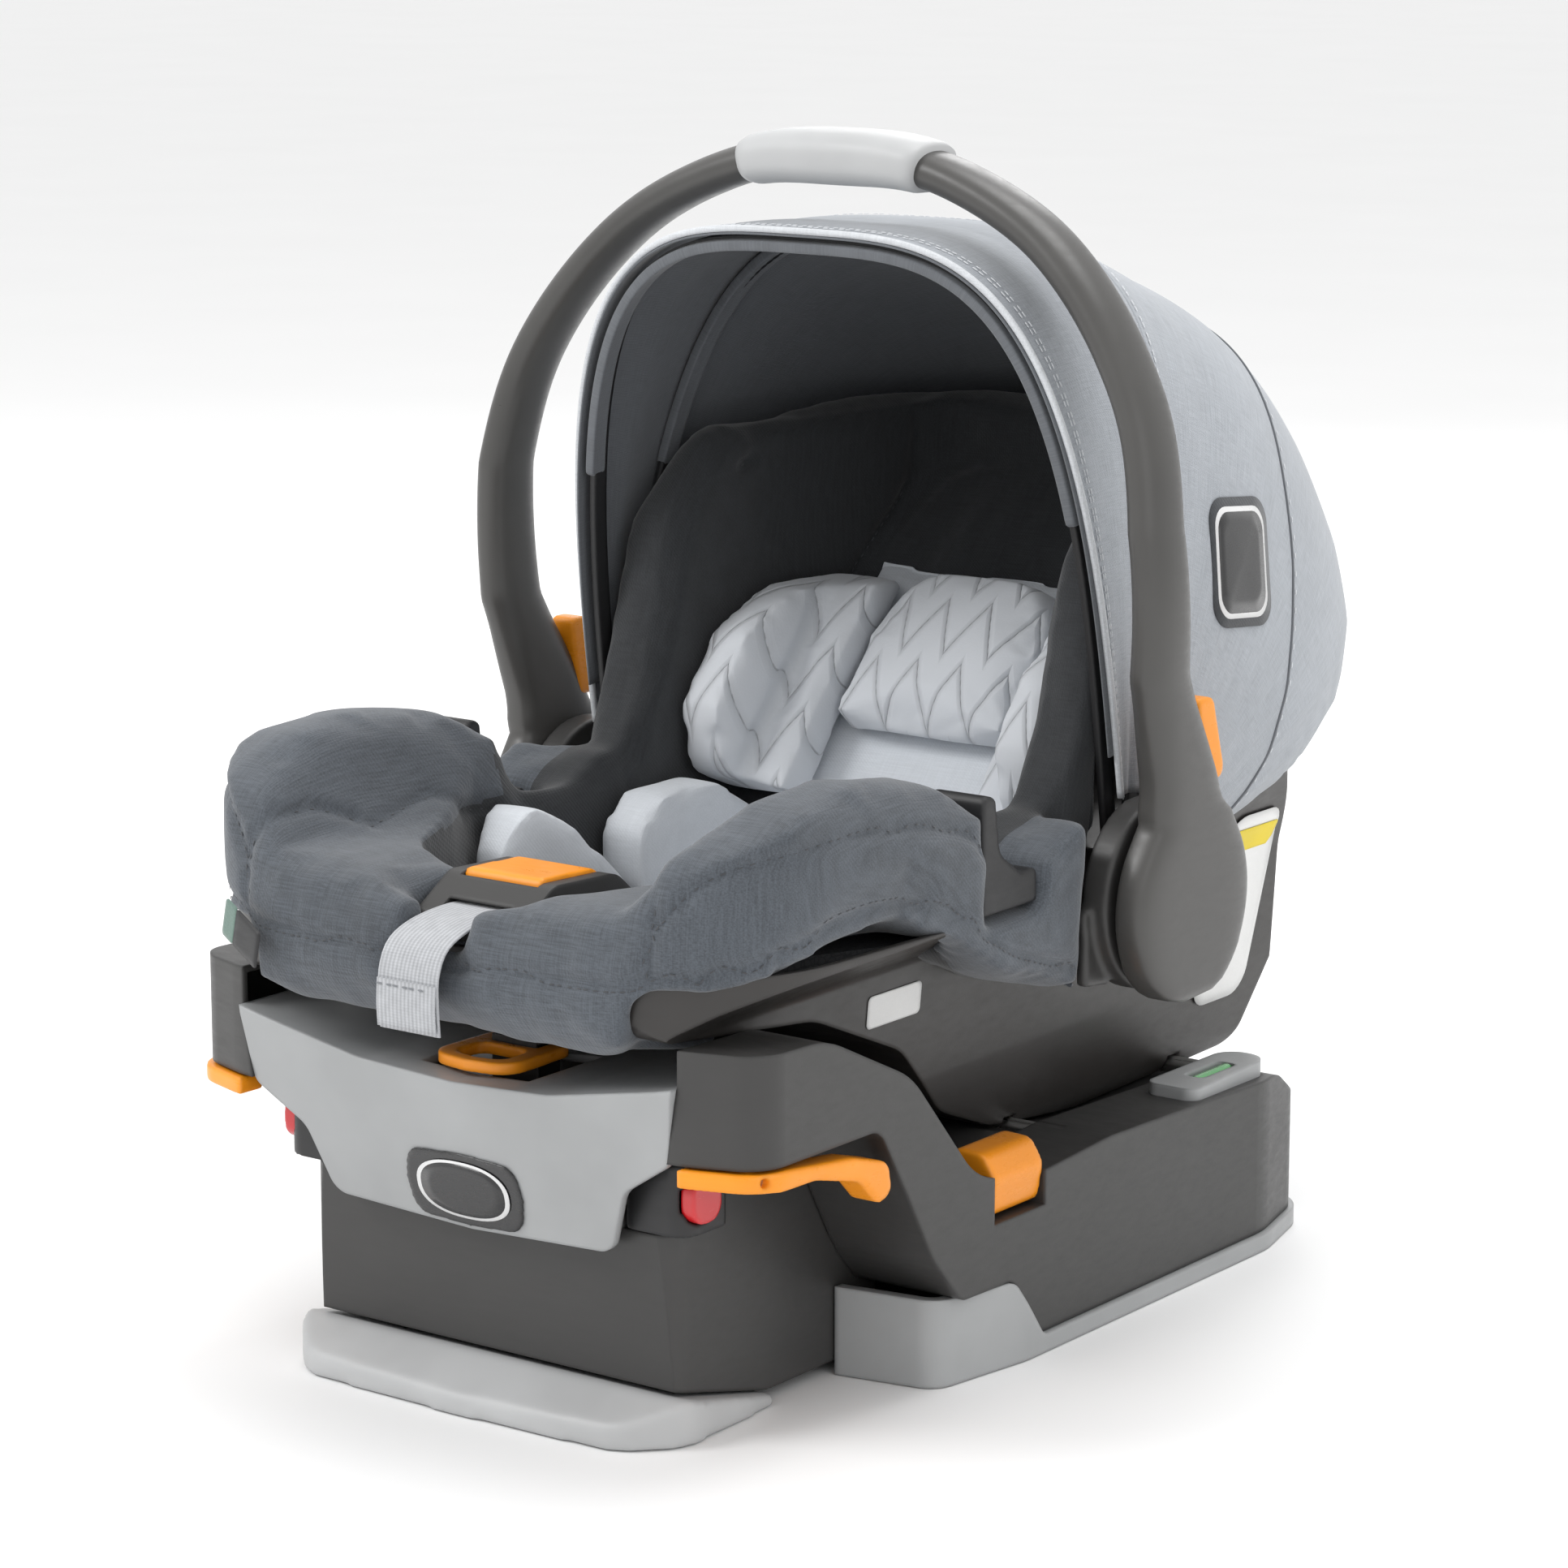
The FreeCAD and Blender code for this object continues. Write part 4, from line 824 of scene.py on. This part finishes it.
def handle_stations(path):
    """Section centres, inward directions, half thickness, half width and squareness."""
    out = ([], [], [], [], [])
    for i, p in enumerate(path):
        z = p.z
        low, high = np.interp(z, ARM_Z, ARM_LOW), np.interp(z, ARM_Z, ARM_HIGH)
        reach = math.sqrt(max(0.0, HUB_R ** 2 - (z - PIVOT.z) ** 2))
        if z < 0.279:
            low, high = PIVOT.y - reach, PIVOT.y + reach
            if z > 0.225:
                low = min(low, float(np.interp(z, ARM_Z, ARM_LOW)))
                high = max(high, float(np.interp(z, ARM_Z, ARM_HIGH)))
        ahead = (path[min(i + 1, len(path) - 1)] - path[max(i - 1, 0)]).normalized()
        inside = Vector((0, 1, 0)).cross(ahead)
        round_off = min(1.0, max(0.0, (z - 0.1712) / 0.006)) ** 0.5
        out[0].append(Vector((p.x, (low + high) / 2, z)))
        out[1].append(inside)
        thick = float(np.interp(z, [0.17, 0.26, 0.38, 0.50, 0.59],
                                [0.0113, 0.0113, 0.0108, 0.0104, 0.0102]))
        out[2].append(thick * (0.35 + 0.65 * round_off))
        out[3].append(max(0.004, (high - low) / 2))
        out[4].append(float(np.interp(z, [0.20, 0.25, 0.33], [5.0, 4.0, 2.25])))
    return out


half_arch = [(x, 0.0, z) for x, z in ARCH]
whole = smooth_path(half_arch + [(-x, 0.0, z) for x, _, z in reversed(half_arch[:-1])], 0.004)
centres, insides, thick, wide, power = handle_stations(whole)
SMOOTHINGS, ROOT = 2, 7        # passes along the arm; sections at each hub that stay as they are
for turn in range(SMOOTHINGS):
    wide = [sum(wide[i - 2:i + 3]) / 5 if ROOT <= i < len(wide) - ROOT else wide[i]
            for i in range(len(wide))]
handle = loft("handle_arch", centres, insides, thick, wide, M["handle"], power)
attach(handle, "handle")
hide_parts("handle_bow")
GRIP_END = 0.058
over = [i for i, p in enumerate(whole) if abs(p.x) < GRIP_END]
ends = [min(1.0, (GRIP_END - abs(whole[i].x)) / 0.005) ** 0.5 for i in over]
swell = [0.0030 + 0.0016 * (1 - (whole[i].x / GRIP_END) ** 2) for i in over]
grip = loft("handle_grip_sleeve", [centres[i] + Vector((0, 0, 0.0006)) for i in over],
            [insides[i] for i in over],
            [thick[i] + w * e for i, w, e in zip(over, swell, ends)],
            [wide[i] * 0.985 + (w + 0.0015) * e for i, w, e in zip(over, swell, ends)], M["pale"],
            [2.6] * len(over))
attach(grip, "handle")
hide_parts("handle_grip")
print("handle", len(whole), "sections")

# %% [markdown]
# ## Seat padding
# A quilted cover over foam lines the seat and rolls over the shell's rim. Its outside is slate, its lining
# charcoal. Seams, the hem among them, are pressed in and stitched.

# %% The seat pad
pad = padding("seat_pad_cover", "seat_pad", 0.0055, 4.0, 0.005, M["slate"],
              12, 0.0015, 6)
pad.data.materials.append(M["charcoal"])
refine(pad)
print("pad", len(pad.data.vertices), "points")


# %% Pad seams
def mirrored(points):
    return [(-x, y, z) for x, y, z in points]


FLANK_SEAM = [(0.128, -0.262, 0.262), (0.150, -0.240, 0.287), (0.172, -0.205, 0.296), (0.184, -0.160, 0.299),
              (0.186, -0.115, 0.294), (0.187, -0.080, 0.284), (0.187, -0.066, 0.270)]
FRONT_SEAM = [(0.128, -0.262, 0.262), (0.131, -0.270, 0.246), (0.134, -0.272, 0.232)]
TOP_SEAM = [(0.128, -0.262, 0.262), (0.126, -0.240, 0.276), (0.124, -0.214, 0.278), (0.122, -0.190, 0.262)]
HEM_LINE = [(0.0, -0.276, 0.234), (0.07, -0.275, 0.234), (0.125, -0.272, 0.236), (0.165, -0.245, 0.241),
            (0.184, -0.200, 0.252), (0.189, -0.160, 0.258), (0.189, -0.125, 0.256), (0.189, -0.086, 0.242),
            (0.189, -0.045, 0.218), (0.189, -0.010, 0.204), (0.189, 0.020, 0.194)]
INNER_SEAM = [(0.112, -0.190, 0.262), (0.124, -0.150, 0.262), (0.132, -0.110, 0.262), (0.130, -0.070, 0.256)]
BACK_SEAM = [(0.138, 0.060, 0.285), (0.140, 0.085, 0.350), (0.138, 0.115, 0.400), (0.118, 0.155, 0.418)]
WING_SEAM = [(0.100, 0.180, 0.300), (0.100, 0.225, 0.350), (0.096, 0.270, 0.400), (0.090, 0.290, 0.430)]
seam_sets = []
for name, marks in (("flank", FLANK_SEAM), ("front", FRONT_SEAM), ("top", TOP_SEAM), ("hem", HEM_LINE),
                    ("inner", INNER_SEAM), ("back", BACK_SEAM), ("wing", WING_SEAM)):
    for side, points in (("right", marks), ("left", mirrored(marks))):
        seam_sets.append((f"pad_{name}_seam_{side}", points))
ruffle(pad, 0.0022, 22.0, (1.0, 0.6, 0.6), 3.0)
ruffle(pad, 0.0012, 60.0, (1.0, 0.4, 0.4), 7.0)
press(pad, [snapped(pad, points)[0] for _, points in seam_sets], 0.0032, 0.0085)
for name, points in seam_sets:
    path, ups = snapped(pad, points, 0.002, 0.0001)
    thread = stitches(name, path, ups, M["darkthread"], 0.0028, 0.0012, 0.0004, 0.00025)
    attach(thread, "carrier")


def dark_side(co):
    """True where the charcoal lining shows: the hollow, the back, and the rim behind the handle."""
    x, y, z = np.abs(co[:, 0]), co[:, 1], co[:, 2]
    behind = y > 0.036
    hollow = (x < 0.126) & (y > -0.185) & (z < 0.262) & (y > -0.2)
    saddle = (y > -0.068) & (x < 0.150)
    return behind | hollow | saddle


centres = np.zeros(len(pad.data.polygons) * 3)
pad.data.polygons.foreach_get("center", centres)
pad.data.polygons.foreach_set("material_index", dark_side(centres.reshape(-1, 3)).astype(np.int32))
pad.data.update()
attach(pad, "carrier")
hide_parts("seat_pad")

# %% [markdown]
# ## Newborn insert
# A thin body sheet, plain bolsters at the thighs and hips, and a quilted head pillow with three lobes.

# %% Insert pieces
insert = {}
for name, node, voxel, pressure, cap, key, fill in (
        ("insert_sheet", "body_insert", 0.004, 2.0, 0.003, "insert", 0.4),
        ("insert_thigh_bolsters", "thigh_bolsters", 0.004, 4.0, 0.006, "insert", 0.7),
        ("insert_hip_bolsters", "hip_bolsters", 0.004, 4.0, 0.006, "insert", 0.7),
        ("insert_pillow_centre", "head_pillow_centre", 0.004, 4.0, 0.007, "quilt", 0.6),
        ("insert_pillow_right", "head_pillow_lobe_right", 0.004, 4.0, 0.007, "quilt", 0.7),
        ("insert_pillow_left", "head_pillow_lobe_left", 0.004, 4.0, 0.007, "quilt", 0.7)):
    o = padding(name, node, voxel, pressure, cap, M[key], 16, 0.002, 8)
    refine(o)
    ruffle(o, 0.0010, 28.0, seed=11.0)
    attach(o, "carrier")
    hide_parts(node)
    insert[name] = o
print(len(insert), "insert pieces")

# %% [markdown]
# ## Straps
# Woven webbing: the adjuster strap hangs over the pad's front edge and ends in a sewn fold. The
# shoulder and crotch straps lie under the insert. The connector straps go back into the base.


# %% Webbing
def strap(name, points, width, thick, key, node, body, spacing=0.004, turns=None):
    path = smooth_path(points, spacing)
    o = ribbon(name, path, width, thick, M[key], turns(path) if turns else None)
    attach(o, body)
    if node:
        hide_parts(node)
    return o


def side_on(path):
    """Ups for a strap that lies across X."""
    return [Vector((1, 0, 0)).cross((path[min(i + 1, len(path) - 1)] - path[max(0, i - 1)]).normalized())
            for i in range(len(path))]


strap("adjuster_webbing", [(0, -0.212, 0.2492), (0, -0.240, 0.2492), (0, -0.262, 0.2465), (0, -0.277, 0.2400),
                           (0, -0.2835, 0.228), (0, -0.284, 0.214), (0, -0.283, 0.199)],
      0.038, 0.0017, "web", "adjuster_strap", "carrier", turns=side_on)
strap("adjuster_fold", [(0, -0.2855, 0.224), (0, -0.2862, 0.212), (0, -0.2856, 0.2005)],
      0.037, 0.0017, "web", None, "carrier", 0.003, side_on)
fold_path = smooth_path([(-0.016, -0.2868, 0.2215), (0.016, -0.2868, 0.2215)], 0.002)
fold_ups = [Vector((0, -1, 0))] * len(fold_path)
box_stitch = stitches("adjuster_fold_stitch", fold_path, fold_ups, M["thread"])
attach(box_stitch, "carrier")
low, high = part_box("shoulder_straps")
for side in (1, -1):
    x = side * 0.043
    o = strap("shoulder_webbing_" + ("right" if side > 0 else "left"),
              [(x, 0.1225, 0.2190), (x, 0.16, 0.2618), (x, 0.20, 0.3076), (x, 0.2265, 0.3379)],
              0.037, 0.0014, "web", "shoulder_straps", "carrier", turns=side_on)
strap("crotch_webbing", [(0, -0.0455, 0.2056), (0, -0.034, 0.2030), (0, -0.0225, 0.2006)],
      0.037, 0.0014, "web", "crotch_strap", "carrier", turns=side_on)
low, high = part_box("latch_webbing")
for side in (1, -1):
    o = strap("latch_webbing_" + ("right" if side > 0 else "left"),
              [(side * 0.103, -0.1965, 0.122), (side * 0.106, -0.180, 0.122), (side * 0.110, -0.151, 0.1215)],
              0.024, 0.0022, "web", "latch_webbing", "base", turns=lambda p: [Vector((1, 0, 0))] * len(p))
print("straps done")

# %% [markdown]
# ## Small details
# A plain ring on the badge, plain patches on the cloth, a two-colour tag and blank white labels.


# %% Patches and labels
def rounded(width, height, corner, steps=6):
    """A rounded rectangle's outline, centred, anticlockwise."""
    out = []
    for cx, cy, first in ((1, 1, 0), (-1, 1, 90), (-1, -1, 180), (1, -1, 270)):
        for k in range(steps + 1):
            a = math.radians(first + 90 * k / steps)
            out.append((cx * (width / 2 - corner) + corner * math.cos(a),
                        cy * (height / 2 - corner) + corner * math.sin(a)))
    return out


def patch(name, outline, at, across, up, thick, material, onto=None, lift=0.0002, rings=4):
    """A thin plate with a soft edge, laid on a surface if one is given."""
    across, up = Vector(across).normalized(), Vector(up).normalized()
    out = across.cross(up).normalized()
    tree = BVHTree.FromObject(onto, bpy.context.evaluated_depsgraph_get()) if onto else None
    points = []
    shares = [k / rings for k in range(rings + 1)]
    for level, share in [(thick, s) for s in shares] + [(0.0, 1.0)]:
        for a, b in outline:
            p = Vector(at) + across * (a * share) + up * (b * share)
            if tree:
                hit, _, _, _ = tree.ray_cast(p + out * 0.06, -out)
                p = hit if hit else p
            points.append(p + out * (lift + level * (1.0 if share < 0.99 or level == 0.0 else 0.85)))
    n = len(outline)
    return piece(name, points, strip_faces(rings + 2, n, True), material)


def put(o, body):
    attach(o, body)
    return o


low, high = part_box("front_badge")
badge_mid = (low + high) / 2


def oval(a, b, n=48, power=2.4):
    return [(a * math.copysign(abs(math.cos(t)) ** (2 / power), math.cos(t)),
             b * math.copysign(abs(math.sin(t)) ** (2 / power), math.sin(t)))
            for t in (2 * math.pi * k / n for k in range(n))]


def dark_patch(name, at, across, up, size, onto, body, blend_back=False):
    made = []
    for part, w, material, lift in (("cloth", 1.0, M["darktrim"], 0.0002), ("ring", 0.86, M["ring"], 0.0010),
                                    ("field", 0.78, M["badge"], 0.0013)):
        o = patch(f"{name}_{part}", rounded(size[0] * w, size[1] * w, size[0] * 0.22 * w), at, across, up,
                  0.0008 if part == "cloth" else 0.0002, material, onto, lift)
        made.append(o)
        if blend_back:
            swing(o, REAR, MIDDLE)
        else:
            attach(o, body)
    return made


xs, hs, _ = arch_points(52.0, 401)
k = int(np.argmin(np.abs(hs[:200] - 0.192)))
spot = turned(float(xs[k]), float(hs[k]), 36.0)
dark_patch("canopy_patch", spot, (0, 1, -0.1), (0, 0.1, 1), (0.060, 0.068), back_cloth, "carrier", True)
dark_patch("lining_patch", (0.058, 0.262, 0.396), (1, 0, 0), (0, 0.6, 0.8), (0.050, 0.030), pad, "carrier")


def flat_label(name, outline, at, across, up, material, onto, body="carrier", lift=0.0003):
    o = patch(name, outline, at, across, up, 0.0003, material, onto, lift, 8)
    return put(o, body)


for part, w, key, lift in (("ring", 0.86, "ring", 0.0006), ("field", 0.78, "badge", 0.0009)):
    made = patch(f"front_badge_{part}", oval(0.034 * w, 0.0175 * w), (0.0, low.y, badge_mid.z),
                 (1, 0, 0), (0, 0, 1), 0.0002, M[key], nodes_of["front_badge"], lift)
    put(made, "base")

shell_seen = nodes_of["seat_shell"]
for side, word in ((1, "right"), (-1, "left")):
    flat_label(f"shell_label_{word}", rounded(0.054, 0.108, 0.014),
               (side * 0.150, 0.262, 0.176), (0, side, 0),
               (0, 0.12, 1), M["label"], shell_seen, lift=0.0012)
    flat_label(f"shell_label_band_{word}", rounded(0.050, 0.014, 0.002),
               (side * 0.150, 0.267, 0.214), (0, side, 0),
               (0, 0.12, 1), M["yellow"], shell_seen, lift=0.0018)
    flat_label(f"belt_label_{word}", rounded(0.046, 0.017, 0.003), (side * 0.16, -0.062, 0.186), (0, side, 0),
               (0, 0, 1), M["label"], shell_seen)
TAG_ALONG = Vector((0.93, -0.36, -0.3)).normalized()
TAG_START = Vector((-0.1100, -0.2720, 0.2270))
for name, width, shift, key in (("pad_tag_black", 0.026, 0.0, "black"),
                                ("pad_tag_green", 0.012, -0.0188, "leaf")):
    tag = patch(name, rounded(width, 0.019, 0.002), TAG_START + TAG_ALONG * shift,
                TAG_ALONG, (0.2, 0, 1), 0.0009, M[key], None, 0.004)
    put(tag, "carrier")
print("patches done")
